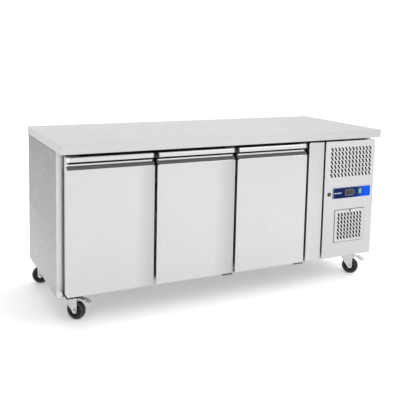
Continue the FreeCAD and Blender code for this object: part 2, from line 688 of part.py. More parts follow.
def make_lock():
    """A round barrel with a face flange, and the cam on its inner end, hanging down unlocked."""
    start = ("lock_x", "door_plane - lock_stand", "lock_z")
    barrel = rod("lock_core", "lock_radius - 0.5", "lock_depth", start, "y")
    face = rod("lock_flange", "lock_radius + 1.5", "lock_face", start, "y")
    cam = box("lock_cam", ("lock_x - cam_half", "lock_x + cam_half"),
              ("cam_plane", "cam_plane + cam_thickness"), ("lock_z - cam_length", "lock_z + cam_half"))
    keyway = box("lock_keyway", ("lock_x - 0.8", "lock_x + 0.8"),
                 ("door_plane - 3", "door_plane + 4"), ("lock_z - 4", "lock_z + 4"))
    node(cut("lock_cut", fuse("lock_solid", barrel, face, cam), keyway), "lock_barrel")


# ---------------------------------------------------------------- refrigeration

BLADE_PITCH = 28


def fan(name, hub, reach, chord, thickness, centre, axis, blades=5):
    """An axial fan: a hub and pitched blades; the hub runs from centre along the axis."""
    parts = [rod(f"{name}_hub", hub, "fan_hub_length", centre, axis)]
    turn = TURN[axis]
    along_axis = turn.multVec(AXIS_Z)
    start = Vector(*[number(c) for c in centre]) + along_axis * number("fan_hub_length / 2")
    for i in range(blades):
        blade = bind(doc.addObject("Part::Box", f"{name}_blade_{i}"),
                     {"Length": f"({reach}) - ({hub}) + 4", "Width": chord, "Height": thickness})
        offset = Placement(Vector(number(hub) - 4, -number(chord) / 2, 0), Rotation())
        pitch = Placement(Vector(), Rotation(AXIS_X, BLADE_PITCH))
        spin = Placement(start, turn * Rotation(AXIS_Z, i * 360 / blades))
        blade.Placement = spin * pitch * offset
        parts.append(blade)
    return fuse(f"{name}_fan", *parts)


def make_condensing_unit():
    x = ("condenser_left", "condenser_right")
    z = ("condenser_bottom", "condenser_top")
    back = "condenser_front + condenser_depth"
    core = body("condenser_core")
    block = rectangle(("condenser_left + 8", "condenser_right - 8"),
                      ("condenser_bottom + 6", "condenser_top - 6"))
    depth = ("condenser_front + 2", f"{back} - 2")
    pad(core, "condenser_block", "XZ_Plane", [block], *depth)
    gap = rectangle(("condenser_left + 12", "condenser_left + 12 + fin_gap"),
                    ("condenser_bottom + 12", "condenser_top - 12"))
    first = pocket(core, "condenser_gap", "XZ_Plane", [gap], *depth)
    row_of(core, "condenser_fins", first, 56, "fin_pitch")
    ends = [box(f"condenser_end_{i}", (low, f"{low} + 3"), ("condenser_front", back), z)
            for i, low in enumerate(("condenser_left + 5", "condenser_right - 8"))]
    bends = []
    for i in range(6):
        level = f"condenser_bottom + {24 + i * 40}"
        for end in ("condenser_left + 1", "condenser_right - 13"):
            bends.append(box(f"bend_{i}_{len(bends)}", (end, f"{end} + 12"),
                             ("condenser_front + 16", "condenser_front + 40"),
                             (level, f"{level} + 8")))
    node(fuse("condenser", core, *ends, *bends), "condenser_coil")

    plate = box("shroud_plate", x, (back, f"{back} + shroud_depth"), z)
    hole = rod("shroud_hole", "fan_radius + 6", "60", ("fan_axis_x", f"{back} - 10", "fan_axis_z"),
               "y")
    stand = [box("shroud_foot", x, (back, f"{back} + 40"),
                 ("body_bottom + sheet", "condenser_bottom"))]
    motor_y = f"{back} + 36"
    motor = rod("motor_can", "motor_radius", "58", ("fan_axis_x", motor_y, "fan_axis_z"), "y")
    arms = [box(f"motor_arm_{side}", ("fan_axis_x - 8", "fan_axis_x + 8"),
                (f"{back} + shroud_depth", f"{motor_y} + 6"), levels)
            for side, levels in (
                ("low", ("fan_axis_z - fan_radius - 14", "fan_axis_z - fan_radius - 10")),
                ("high", ("fan_axis_z + fan_radius + 10", "fan_axis_z + fan_radius + 14")))]
    bridge = box("motor_bridge", ("fan_axis_x - 8", "fan_axis_x + 8"),
                 (f"{motor_y} + 3", f"{motor_y} + 6"),
                 ("fan_axis_z - fan_radius - 14", "fan_axis_z + fan_radius + 14"))
    node(fuse("shroud", cut("shroud_ring", plate, hole), *stand), "fan_shroud")
    node(fuse("motor", motor, *arms, bridge), "condenser_fan_motor")
    node(fan("bay", "fan_hub", "fan_radius", "52", "2",
             ("fan_axis_x", f"{back} + 10", "fan_axis_z"), "y"), "condenser_fan")


def make_compressor():
    """A hermetic pot on a base plate with four rubber feet."""
    foot = "body_bottom + sheet"
    base = f"{foot} + pot_foot_height"
    pot = turned("pot", [
        ("0", "16"), ("compressor_radius - 10", "16"), ("compressor_radius", "28"),
        ("compressor_radius", "compressor_height - 40"),
        ("compressor_radius - 12", "compressor_height - 16"),
        ("compressor_radius - 42", "compressor_height - 2"), ("0", "compressor_height"),
    ])
    bind(pot, {"Placement.Base.x": "compressor_x", "Placement.Base.y": "compressor_y",
               "Placement.Base.z": foot})
    plate = box("pot_plate",
                ("compressor_x - pot_foot_x - pot_plate_margin",
                 "compressor_x + pot_foot_x + pot_plate_margin"),
                ("compressor_y - pot_foot_y - pot_plate_margin",
                 "compressor_y + pot_foot_y + pot_plate_margin"),
                (base, f"{base} + pot_plate_thickness"))
    starter = box("pot_starter", ("compressor_x - starter_half", "compressor_x + starter_half"),
                  ("compressor_y - compressor_radius - starter_reach",
                   "compressor_y - compressor_radius + 12"),
                  (f"{base} + 50", f"{base} + 110"))
    feet = [rod(f"pot_foot_{i}", "pot_foot_radius", "pot_foot_height",
                (f"compressor_x + {u} * pot_foot_x", f"compressor_y + {v} * pot_foot_y", foot))
            for i, (u, v) in enumerate(((-1, -1), (1, -1), (-1, 1), (1, 1)))]
    node(group("pot_group", fuse("pot_solid", pot, plate, starter), *feet), "compressor")


def pipe(points, radius, bend):
    """A tube along straight runs joined by tangent arcs of one bend radius."""
    corners = [Vector(*[number(c) for c in point]) for point in points]
    edges, start = [], corners[0]
    for before, corner, after in zip(corners, corners[1:], corners[2:]):
        into, out = (corner - before).normalize(), (after - corner).normalize()
        half = into.getAngle(out) / 2
        back = bend * math.tan(half)
        entry, leave = corner - into * back, corner + out * back
        inward = (out - into).normalize()
        middle = corner + inward * (bend / math.cos(half) - bend)
        edges.append(Part.makeLine(start, entry))
        edges.append(Part.Arc(entry, middle, leave).toShape())
        start = leave
    edges.append(Part.makeLine(start, corners[-1]))
    first = (corners[1] - corners[0]).normalize()
    ring = Part.Wire([Part.makeCircle(radius, corners[0], first)])
    return Part.Wire(edges).makePipeShell([ring], True, False)


def make_pipework():
    """Discharge, liquid and suction lines with the filter drier in the liquid line."""
    shell, y = "compressor_x + compressor_radius", "compressor_y"
    rise, coil_y, coil_top = f"{shell} + discharge_offset", "condenser_front + 28", "condenser_top - 7"
    port, wall = "condenser_left + 18", "bay_left + sheet + 0.5"
    drop = "compressor_x - 46"
    routes = {
        "discharge": [(f"{shell} - 3", y, "230"), (rise, y, "230"), (rise, y, "470"),
                      (rise, coil_y, "470"), (rise, coil_y, coil_top)],
        "liquid": [(port, coil_y, coil_top), (port, coil_y, "liquid_level"),
                   (port, "60", "liquid_level"), (wall, "60", "liquid_level")],
        "suction": [(wall, "120", "suction_level"), (drop, "120", "suction_level"),
                    (drop, "120", "compressor_height + body_bottom - 14")],
    }
    tubes = []
    for name, route in routes.items():
        tube = doc.addObject("Part::Feature", f"line_{name}")
        tube.Shape = pipe(route, number("pipe_radius"), number("pipe_bend"))
        tubes.append(tube)
    drier = cut("drier_cut",
                rod("drier_can", "drier_radius", "drier_length", (port, "-110", "liquid_level"), "y"),
                rod("drier_bore", "pipe_radius + 0.2", "drier_length + 30",
                    (port, "-125", "liquid_level"), "y"))
    node(group("pipework", *tubes, drier), "refrigerant_pipes")


def make_evaporator():
    """The coil behind its cover at the right end of the cold room, and the cover's fan."""
    x = ("evaporator_left", "room_right - skin_gap")
    y = ("cover_front", "room_back - skin_gap")
    z = ("room_floor + 6", "room_ceiling - skin_gap")
    cover = pan("cold_cover", x, y, z, "+x")
    tools = [rod("cold_cover_hole", "cold_fan_radius + 5", "60",
                 ("evaporator_left - 20", "cold_fan_y", "cold_fan_z"), "x")]
    for i in range(9):
        low = f"coil_front + 20 + {i} * return_pitch"
        tools.append(box(f"cold_return_{i}", ("evaporator_left - 5", "evaporator_left + 5"),
                         (low, f"{low} + return_width"), ("return_bottom", "return_top")))
    node(cut("cold_cover_cut", cover, *tools), "evaporator_cover")
    coil_x = ("room_right - 10 - coil_depth", "room_right - 10")
    coil = body("cold_coil")
    levels = ("coil_bottom", "coil_top")
    pad(coil, "cold_block", "XY_Plane", [rectangle(coil_x, ("coil_front", "coil_back"))], *levels)
    gap = rectangle((f"{coil_x[0]} + 6", f"{coil_x[1]} - 6"),
                    ("coil_front + 6", "coil_front + 7 + fin_gap"))
    first = pocket(coil, "cold_gap", "XY_Plane", [gap], *levels)
    row_of(coil, "cold_fins", first, 88, "fin_pitch + 1.15", "V_Axis")
    node(coil, "evaporator_coil")
    node(fan("cold", "cold_fan_hub", "cold_fan_radius", "42", "2",
             ("evaporator_left + 8", "cold_fan_y", "cold_fan_z"), "x"), "evaporator_fan")


def make_gland():
    """The nylon gland in the back panel that the supply lead comes out of."""
    y0 = "body_back - 14"
    stem = rod("gland_stem", "gland_body", "gland_length", ("gland_x", y0, "gland_z"), "y")
    nut = rod("gland_ring", "gland_nut", "nut_thickness", ("gland_x", "body_back", "gland_z"), "y")
    bore = rod("gland_hole", "gland_bore", "2 * gland_length", ("gland_x", f"{y0} - 10", "gland_z"),
               "y")
    node(cut("gland_cut", fuse("gland_solid", stem, nut), bore), "cable_gland")


# ---------------------------------------------------------------- castors

# name, side of the counter, end of the counter, and the way the wheel trails (degrees from +X)
CASTORS = (
    ("front_left", -1, "front", -45),
    ("front_right", 1, "front", -45),
    ("rear_left", -1, "rear", 155),
    ("rear_right", 1, "rear", 35),
)


def castor_place(side, end):
    return f"{side} * castor_{end}_x", f"castor_{end}_y"


def posed(part, side, end, heading):
    """Puts a piece drawn about its own swivel axis under its corner, turned to its heading."""
    x, y = castor_place(side, end)
    part.Placement = Placement(Vector(), Rotation(AXIS_Z, heading))
    return bind(part, {"Placement.Base.x": x, "Placement.Base.y": y})


def make_castor_plates():
    """Top plate, bearing head and king pin of each castor, bolted to the base."""
    plates = []
    for name, side, end, _ in CASTORS:
        x, y = castor_place(side, end)
        low = "body_bottom - castor_plate_thickness"
        plates.append(fuse(
            f"plate_{name}",
            box(f"plate_flat_{name}",
                (f"{x} - castor_plate_length / 2", f"{x} + castor_plate_length / 2"),
                (f"{y} - castor_plate_width / 2", f"{y} + castor_plate_width / 2"),
                (low, "body_bottom")),
            rod(f"plate_race_{name}", "race_radius", "race_height",
                (x, y, f"{low} - race_height")),
            rod(f"plate_king_{name}", "king_radius", "race_height + 16",
                (x, y, f"{low} - race_height - 14"))))
    node(group("plates", *plates), "castor_plates")


FORK_OUTLINE = [
    ("-30", "crown_top"), ("-30", "crown_top - 14"), ("castor_trail - 12", "wheel_radius - 4"),
    ("castor_trail - 7", "wheel_radius - 12"), ("castor_trail + 7", "wheel_radius - 12"),
    ("castor_trail + 12", "wheel_radius - 4"), ("castor_trail + 14", "crown_top - 8"),
    ("castor_trail + 6", "crown_top"),
]


def make_fork(name, side, end, heading):
    """A pressed fork with a kingpin hole, and its axle bolt as a solid of its own."""
    fork = body(f"fork_{name}")
    pad(fork, f"fork_block_{name}", "XZ_Plane", [FORK_OUTLINE], "-fork_half", "fork_half")
    slot_loop = rectangle(("-fork_gap", "fork_gap"), ("0", "crown_top - crown_thickness"))
    pocket(fork, f"fork_slot_{name}", "YZ_Plane", [slot_loop], "-60", "80")
    king = rod(f"fork_king_{name}", "king_radius + running_fit", "60", ("0", "0", "80"))
    axle_at = ("castor_trail", "-fork_half - 3", "wheel_radius")
    hole = rod(f"fork_axle_hole_{name}", "axle_radius + running_fit", "2 * fork_half + 10",
               ("castor_trail", "-fork_half - 5", "wheel_radius"), "y")
    bored = cut(f"fork_bored_{name}", fork, king, hole)
    bolt = fuse(f"bolt_{name}",
                rod(f"bolt_shank_{name}", "axle_radius", "2 * fork_half + 6", axle_at, "y"),
                rod(f"bolt_head_{name}", "8", "3", axle_at, "y"),
                rod(f"bolt_nut_{name}", "8", "3", ("castor_trail", "fork_half", "wheel_radius"),
                    "y"))
    node(posed(group(f"fork_group_{name}", bored, bolt), side, end, heading),
         f"castor_fork_{name}")


def make_wheel(name, side, end, heading):
    """A rubber tyre on a moulded hub; both turn on the axle bolt."""
    bore, face = "axle_radius + running_fit", "wheel_half + 2.5"
    hub = turned(f"hub_{name}", [
        (bore, f"-({face})"), ("11", f"-({face})"), ("13", "-6"), ("hub_radius - 4", "-6"),
        ("hub_radius - 2", "-wheel_half + 1"), ("hub_radius", "-wheel_half + 1"),
        ("hub_radius", "wheel_half - 1"), ("hub_radius - 2", "wheel_half - 1"),
        ("hub_radius - 4", "6"), ("13", "6"), ("11", face), (bore, face),
    ])
    tyre = turned(f"tyre_{name}", [
        ("hub_radius", "-wheel_half"), ("wheel_radius - 4", "-wheel_half"),
        ("wheel_radius - 1", "-wheel_half + 3"), ("wheel_radius", "-wheel_half + 7"),
        ("wheel_radius", "wheel_half - 7"), ("wheel_radius - 1", "wheel_half - 3"),
        ("wheel_radius - 4", "wheel_half"), ("hub_radius", "wheel_half"),
    ])
    on_axle = Placement(Vector(number("castor_trail"), 0, number("wheel_radius")), TURN["y"])
    for part in (hub, tyre):
        part.Placement = on_axle
    node(posed(group(f"wheel_group_{name}", hub, tyre), side, end, heading),
         f"castor_wheel_{name}")


PEDAL_OUTLINE = [
    ("pedal_x - 8", "pedal_z - 4"), ("pedal_x - 4", "pedal_z - 12"), ("pedal_x + 10", "pedal_z - 12"),
    ("pedal_x + 18", "pedal_z - 5"), ("pedal_x + 36", "pedal_z - 8"),
    ("pedal_x + 66", "pedal_z - 20"), ("pedal_x + 69", "pedal_z - 15"),
    ("pedal_x + 42", "pedal_z - 2"), ("pedal_x + 12", "pedal_z + 4"),
    ("pedal_x - 4", "pedal_z + 4"),
]


def make_pedal(name, side, end, heading):
    """The brake lever: a shoe over the tyre inside the fork, and a pedal out behind."""
    lever = extruded(f"pedal_{name}", "XZ_Plane", PEDAL_OUTLINE, "-pedal_half", "pedal_half")
    node(posed(lever, side, end, heading), f"brake_pedal_{name}")


# ---------------------------------------------------------------- build, check and write

make_worktop()
make_shell()
make_cold_room()
make_front_frame()
for door in range(3):
    make_door(door)
    make_shelf(door)
make_hinges()
make_shelf_supports()
make_machine_panel()
make_flap()
make_controls()
make_lock()
make_condensing_unit()
make_compressor()
make_pipework()
make_evaporator()
make_gland()
make_castor_plates()
for castor in CASTORS:
    make_fork(*castor)
    make_wheel(*castor)
    if castor[2] == "front":
        make_pedal(*castor)
doc.recompute()

for item in doc.Objects:
    if "Invalid" in item.State or "Error" in item.State:
        raise RuntimeError(f"{item.Name} is {item.State}")
for label, part in NODES.items():
    shape = part.Shape
    if shape.isNull() or not shape.isValid() or not shape.Solids:
        raise RuntimeError(f"{label} has no valid solid")

os.makedirs("parts", exist_ok=True)
for label, part in NODES.items():
    part.Shape.exportStep(f"parts/{label}.step")
    bounds = part.Shape.BoundBox
    print(f"{label:26s} solids {len(part.Shape.Solids):3d}  "
          f"x {bounds.XMin:8.1f} {bounds.XMax:8.1f}  y {bounds.YMin:8.1f} {bounds.YMax:8.1f}  "
          f"z {bounds.ZMin:7.1f} {bounds.ZMax:7.1f}")
print(len(NODES), "nodes")
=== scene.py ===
"""Looks of the refrigerated counter: finishes, fittings, floor, lights and camera.

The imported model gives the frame. Everything is in metres, +X right, +Y back, +Z up from the floor.
"""
import json
import math
import random

import bmesh
import bpy
from mathutils import Matrix, Vector


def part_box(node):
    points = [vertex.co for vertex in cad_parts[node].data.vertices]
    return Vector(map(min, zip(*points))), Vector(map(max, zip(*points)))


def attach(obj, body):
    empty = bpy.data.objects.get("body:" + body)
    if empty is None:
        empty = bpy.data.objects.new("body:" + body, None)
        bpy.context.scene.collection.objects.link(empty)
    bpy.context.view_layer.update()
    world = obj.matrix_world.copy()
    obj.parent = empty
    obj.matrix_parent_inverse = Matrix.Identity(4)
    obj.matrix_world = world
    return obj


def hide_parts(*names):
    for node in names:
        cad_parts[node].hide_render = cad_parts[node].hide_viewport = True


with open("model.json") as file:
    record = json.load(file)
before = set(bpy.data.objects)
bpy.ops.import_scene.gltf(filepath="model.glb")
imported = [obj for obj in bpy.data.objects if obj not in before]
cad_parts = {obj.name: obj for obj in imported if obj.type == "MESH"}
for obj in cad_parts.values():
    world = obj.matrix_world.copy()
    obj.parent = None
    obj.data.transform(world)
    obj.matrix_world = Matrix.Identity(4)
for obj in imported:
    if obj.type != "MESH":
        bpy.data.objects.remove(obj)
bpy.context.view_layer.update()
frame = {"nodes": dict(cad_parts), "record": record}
random.seed(7)
MM = 0.001

# ---------------------------------------------------------------- finishes

FINISHES = {}


class Shader:
    """A material's node tree, with short calls for the nodes that the finishes share."""

    def __init__(self, name):
        self.material = bpy.data.materials.new(name)
        self.material.use_nodes = True
        self.tree = self.material.node_tree
        self.surface = self.tree.nodes["Principled BSDF"]
        self.place = self.add("ShaderNodeTexCoord").outputs["Object"]
        FINISHES[name] = self.material

    def add(self, kind, **settings):
        made = self.tree.nodes.new(kind)
        for key, value in settings.items():
            setattr(made, key, value)
        return made

    def link(self, source, target):
        self.tree.links.new(source, target)

    def set(self, **values):
        """Sets the shader's own sockets: base_color becomes "Base Color", and so on."""
        for key, value in values.items():
            words = {"ior": "IOR", "specular_ior_level": "Specular IOR Level"}
            socket = words.get(key, key.replace("_", " ").title())
            self.surface.inputs[socket].default_value = value
        return self

    def noise(self, scale, detail=3.0, stretch=(1, 1, 1), rough=0.5):
        mapping = self.add("ShaderNodeMapping")
        mapping.inputs["Scale"].default_value = stretch
        self.link(self.place, mapping.inputs["Vector"])
        made = self.add("ShaderNodeTexNoise")
        made.inputs["Scale"].default_value = scale
        made.inputs["Detail"].default_value = detail
        made.inputs["Roughness"].default_value = rough
        self.link(mapping.outputs["Vector"], made.inputs["Vector"])
        return made.outputs["Fac"]

    def spread(self, source, low, high, start=0.3, end=0.7):
        """Maps a noise onto a range of values."""
        made = self.add("ShaderNodeMapRange")
        made.inputs["From Min"].default_value = start
        made.inputs["From Max"].default_value = end
        made.inputs["To Min"].default_value = low
        made.inputs["To Max"].default_value = high
        self.link(source, made.inputs["Value"])
        return made.outputs["Result"]

    def ramp(self, source, *stops):
        made = self.add("ShaderNodeValToRGB")
        ramp = made.color_ramp
        while len(ramp.elements) < len(stops):
            ramp.elements.new(0.5)
        for element, (position, colour) in zip(ramp.elements, stops):
            element.position = position
            element.color = (*colour, 1)
        self.link(source, made.inputs["Fac"])
        return made.outputs["Color"]

    def axis(self, letter):
        """One coordinate of the place, in metres."""
        split = self.add("ShaderNodeSeparateXYZ")
        self.link(self.place, split.inputs[0])
        return split.outputs[letter]

    def sideways(self):
        """1 on the faces that look along X when the body is at rest, 0 elsewhere; the brushed steels paint
        light and shade on these faces.
        """
        place = self.add("ShaderNodeTexCoord")
        split = self.add("ShaderNodeSeparateXYZ")
        self.link(place.outputs["Normal"], split.inputs[0])
        size = self.add("ShaderNodeMath", operation="ABSOLUTE")
        self.link(split.outputs["X"], size.inputs[0])
        return self.above(size.outputs[0], 0.8)

    def above(self, source, level, operation="GREATER_THAN"):
        """One where the value passes a level, else nought."""
        made = self.add("ShaderNodeMath", operation=operation)
        self.link(source, made.inputs[0])
        made.inputs[1].default_value = level
        return made.outputs[0]

    def either(self, first, second):
        made = self.add("ShaderNodeMath", operation="MAXIMUM")
        self.link(first, made.inputs[0])
        self.link(second, made.inputs[1])
        return made.outputs[0]

    def blend(self, first, second, factor, mode="MIX"):
        """Lays the second colour over the first; a colour may be a plain one."""
        made = self.add("ShaderNodeMix", data_type="RGBA", blend_type=mode)
        for socket, value in ((made.inputs[6], first), (made.inputs[7], second)):
            if isinstance(value, tuple):
                socket.default_value = (*value, 1)
            else:
                self.link(value, socket)
        if isinstance(factor, float):
            made.inputs[0].default_value = factor
        else:
            self.link(factor, made.inputs[0])
        return made.outputs[2]

    def sum(self, first, second, weight=1.0):
        made = self.add("ShaderNodeMath", operation="MULTIPLY_ADD")
        self.link(second, made.inputs[0])
        made.inputs[1].default_value = weight
        self.link(first, made.inputs[2])
        return made.outputs[0]

    def colour(self, source):
        self.link(source, self.surface.inputs["Base Color"])
        return self

    def rough(self, source):
        self.link(source, self.surface.inputs["Roughness"])
        return self

    def bump(self, source, strength, distance=0.0002):
        made = self.add("ShaderNodeBump")
        made.inputs["Strength"].default_value = strength
        made.inputs["Distance"].default_value = distance
        self.link(source, made.inputs["Height"])
        self.link(made.outputs["Normal"], self.surface.inputs["Normal"])
        return self


def grey(value):
    """A neutral colour."""
    return (value, value, value)


def steel(value):
    """Stainless steel's colour, a touch cool."""
    return (value, value * 0.990, value * 1.015)


def brushed(name, tone, along, low=0.24, high=0.36, painted_shades=(), painted_side_light=1.0,
            front=None):
    """Satin stainless sheet: fine grain along one axis, faint clouding and a few soft smears.

    Each fade is (axis, from, to, factors): painted shade and light, the sheet's tone darkened or
    lightened through the factors between the two levels. The side factor is painted light or shade
    on the faces folded back along Y; front is a painted tone of light or shade for every face that
    does not look along X.
    """
    made = Shader(name).set(metallic=1.0)
    stretch = {"x": (0.02, 1, 1), "y": (1, 0.02, 1), "z": (1, 1, 0.02)}[along]
    grain = made.noise(1400, 2, stretch, 0.7)
    coarse = made.noise(260, 3, stretch, 0.6)
    cloud = made.noise(5.5, 4, (1, 1, 1), 0.6)
    smear = made.noise(23, 5, (1, 1, 1.6), 0.65)
    tint = made.sum(made.spread(cloud, 0.0, 0.6), made.spread(coarse, 0.0, 0.4))
    colour = made.ramp(tint, (0.0, steel(tone * 0.975)), (1.0, steel(tone * 1.02)))
    # painted shade and light: each fade darkens or lightens the sheet towards one end or face
    for axis, start, end, factors in painted_shades:
        stops = [(i / (len(factors) - 1), grey(factor)) for i, factor in enumerate(factors)]
        painted_shade_ramp = made.ramp(made.spread(made.axis(axis), 0, 1, start * MM, end * MM), *stops)
        colour = made.blend(colour, painted_shade_ramp, 1.0, "MULTIPLY")
    # painted light and shade: the faces that look along X get a lighter or darker copy of the tone
    if painted_side_light != 1.0:
        colour = made.blend(colour, grey(tone * painted_side_light), made.sideways())
    # painted light and shade: the faces that do not look along X get a tone of their own
    if front:
        colour = made.blend(grey(front), colour, made.sideways())
    made.colour(colour)
    made.rough(made.sum(made.spread(grain, low, high), made.spread(smear, -0.02, 0.05)))
    made.bump(made.sum(grain, coarse, 0.6), 0.10, 0.00012)
    return made


def moulded(name, colour, low=0.35, high=0.5, grain=900, depth=0.12, level=0.5):
    """Injection-moulded plastic with a fine spark-eroded texture."""
    made = Shader(name).set(specular_ior_level=level)
    cloud = made.noise(30, 4)
    texture = made.noise(grain, 3)
    darker = tuple(c * 0.88 for c in colour)
    made.colour(made.ramp(cloud, (0.3, darker), (0.7, colour)))
    made.rough(made.spread(texture, low, high))
    made.bump(texture, depth, 0.00015)
    return made


def plated(name, tone, low, high, mottle=60, warm=0.0):
    """Plated or cast metal: crystalline mottling, duller where it has been handled."""
    made = Shader(name).set(metallic=1.0)
    spangle = made.noise(mottle, 5, (1, 1, 1), 0.6)
    fine = made.noise(700, 2)
    colour = (tone * (1 + warm), tone, tone * (1 - warm))
    made.colour(made.ramp(spangle, (0.3, tuple(c * 0.82 for c in colour)),
                          (0.7, tuple(c * 1.08 for c in colour))))
    made.rough(made.sum(made.spread(spangle, low, high), made.spread(fine, -0.03, 0.03)))
    made.bump(made.sum(spangle, fine, 0.4), 0.12, 0.0002)
    return made


def painted(name, colour, low=0.3, high=0.45):
    """Stoved paint with a slight orange peel and chalky wear."""
    made = Shader(name)
    peel = made.noise(420, 2)
    wear = made.noise(45, 6, (1, 1, 1), 0.7)
    lighter = tuple(min(1, c * 1.35 + 0.012) for c in colour)
    made.colour(made.ramp(wear, (0.45, colour), (0.75, lighter)))
    made.rough(made.spread(wear, low, high))
    made.bump(peel, 0.15, 0.00015)
    return made


def rubbery(name, colour, low=0.55, high=0.75, scuff=0.35):
    """Rubber: matt, with fine scuffs and pale dust in the texture."""
    made = Shader(name).set(specular_ior_level=0.3)
    fine = made.noise(600, 4, (1, 1, 1), 0.6)
    dust = made.noise(60, 6, (1, 1, 1), 0.7)
    dusty = tuple(c + scuff * 0.06 for c in colour)
    made.colour(made.ramp(dust, (0.4, colour), (0.8, dusty)))
    made.rough(made.spread(dust, low, high))
    made.bump(fine, 0.25, 0.0003)
    return made


def lit(name, colour, strength, rough=0.2):
    """A lit moulding: its glow varies a little across the lens."""
    made = Shader(name).set(roughness=rough, coat_weight=0.3)
    cloud = made.noise(120, 2)
    tint = made.ramp(cloud, (0.3, tuple(c * 0.8 for c in colour)), (0.7, colour))
    made.colour(tint)
    made.link(tint, made.surface.inputs["Emission Color"])
    made.surface.inputs["Emission Strength"].default_value = strength
    made.bump(made.noise(500, 2), 0.05, 0.0001)
    return made


def copper():
    """Bright drawn pipe going brown where it has been handled."""
    made = Shader("copper").set(metallic=1.0)
    age = made.noise(35, 5, (1, 1, 1), 0.65)
    made.colour(made.ramp(age, (0.35, (0.52, 0.23, 0.14)), (0.7, (0.76, 0.41, 0.27))))
    made.rough(made.spread(age, 0.42, 0.24))
    made.bump(made.noise(300, 3), 0.08)


def foam(name, dark, light, cell):
    """Open or closed plastic foam: the cells show in the roughness and the relief."""
    made = Shader(name).set(specular_ior_level=0.2)
    cells = made.noise(cell, 4, (1, 1, 1), 0.7)
    cloud = made.noise(14, 4)
    made.colour(made.ramp(cloud, (0.3, dark), (0.7, light)))
    made.rough(made.spread(cells, 0.75, 0.9))
    made.bump(cells, 0.6, 0.0005)


def overlay():
    """The printed control overlay: navy under its left two thirds, bright blue to the right."""
    low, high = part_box("control_fascia")
    made = Shader("overlay").set(specular_ior_level=0.04)
    across = made.spread(made.axis("X"), 0, 1, low.x, high.x)
    cloud = made.noise(40, 3)
    mixed = made.sum(across, made.spread(cloud, -0.02, 0.02))
    navy, deep = (0.003, 0.013, 0.066), (0.002, 0.010, 0.064)
    made.colour(made.ramp(mixed, (0.0, navy), (0.55, deep), (0.66, (0.003, 0.026, 0.22)),
                          (0.74, (0.004, 0.066, 0.56)), (1.0, (0.004, 0.074, 0.63))))
    made.rough(made.spread(made.noise(900, 3), 0.30, 0.42))
    made.bump(made.noise(900, 3), 0.05, 0.0001)


def smoked():
    """The display's smoked window."""
    made = Shader("smoked").set(specular_ior_level=0.25)
    cloud = made.noise(80, 3)
    made.colour(made.ramp(cloud, (0.3, (0.022, 0.016, 0.028)), (0.7, (0.040, 0.024, 0.040))))
    made.rough(made.spread(cloud, 0.12, 0.2))
    made.bump(made.noise(500, 2), 0.03, 0.0001)


def end_caps(name, door, outer_left, outer_right):
    """Moulded caps that close the handle; the long block is filmed like the profile it follows.

    outer_left and outer_right are the colours of the outermost ends; the nylon washers above and
    below the block are white.
    """
    skin_low, skin_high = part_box(f"door_{door}_skin")
    _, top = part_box(f"door_{door}_handle")
    made = Shader(name)
    x, z = made.axis("X"), made.axis("Z")
    right = made.above(x, skin_high.x - CAP_FACE * MM)
    left = made.above(x, skin_low.x + CAP_FACE * MM, "LESS_THAN")
    nylon = made.either(made.above(z, top.z + 0.0002),
                        made.above(z, skin_low.z + 0.0001, "LESS_THAN"))
    grain = made.noise(700, 3)
    film = made.ramp(made.noise(200, 3, (0.05, 1, 1)), (0.3, steel(PROFILE_TONE * 0.96)),
                     (0.7, steel(PROFILE_TONE * 1.02)))
    colour = made.blend(film, grey(outer_left), left)
    colour = made.blend(colour, grey(outer_right), right)
    made.colour(made.blend(colour, grey(0.80), nylon))
    plastic = made.either(made.either(left, right), nylon)
    made.link(made.spread(plastic, 1.0, 0.0, 0, 1), made.surface.inputs["Metallic"])
    made.rough(made.spread(grain, 0.26, 0.40))
    made.bump(grain, 0.10, 0.00012)


def floor_finish():
    """A matt white studio floor."""
    made = Shader("floor")
    cloud = made.noise(1.5, 3)
    made.colour(made.ramp(cloud, (0.3, grey(0.94)), (0.7, grey(0.96))))
    made.rough(made.spread(made.noise(60, 4), 0.55, 0.65))
    made.set(emission_color=(1, 1, 1, 1), emission_strength=0.2)


CAP_FACE = 8.0
PROFILE_TONE = 0.56
DOORS = (1, 2, 3)
BLACK, WHITE = 0.02, 0.78

door_right = {number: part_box(f"door_{number}_skin")[1].x / MM for number in DOORS}
# painted shade and light: the fades darken the doors' and pillar's right edges and the worktop's top and
# right end, and lighten the machine panel upwards; the side factors light the faces that look along X
brushed("steel_front", 0.515, "z", painted_shades=[("X", 425, 520, (1.0, 0.92))], painted_side_light=1.5)
brushed("steel_panel", 0.50, "z", painted_shades=[("Z", 156, 797, (0.95, 0.98, 1.08))], painted_side_light=1.3)
brushed("steel_door_1", 0.545, "z", painted_shades=[("X", door_right[1] - 90, door_right[1], (1.0, 0.78))],
        painted_side_light=1.55)
brushed("steel_door_2", 0.535, "z", painted_shades=[("X", door_right[2] - 105, door_right[2], (1.0, 0.75))],
        painted_side_light=1.55)
brushed("steel_door_3", 0.525, "z", painted_side_light=1.55)
brushed("steel_top", 0.525, "x", 0.26, 0.38,
        painted_shades=[("Z", 848, 849.6, (1.0, 0.89)), ("X", 300, 897, (1.0, 0.92))])
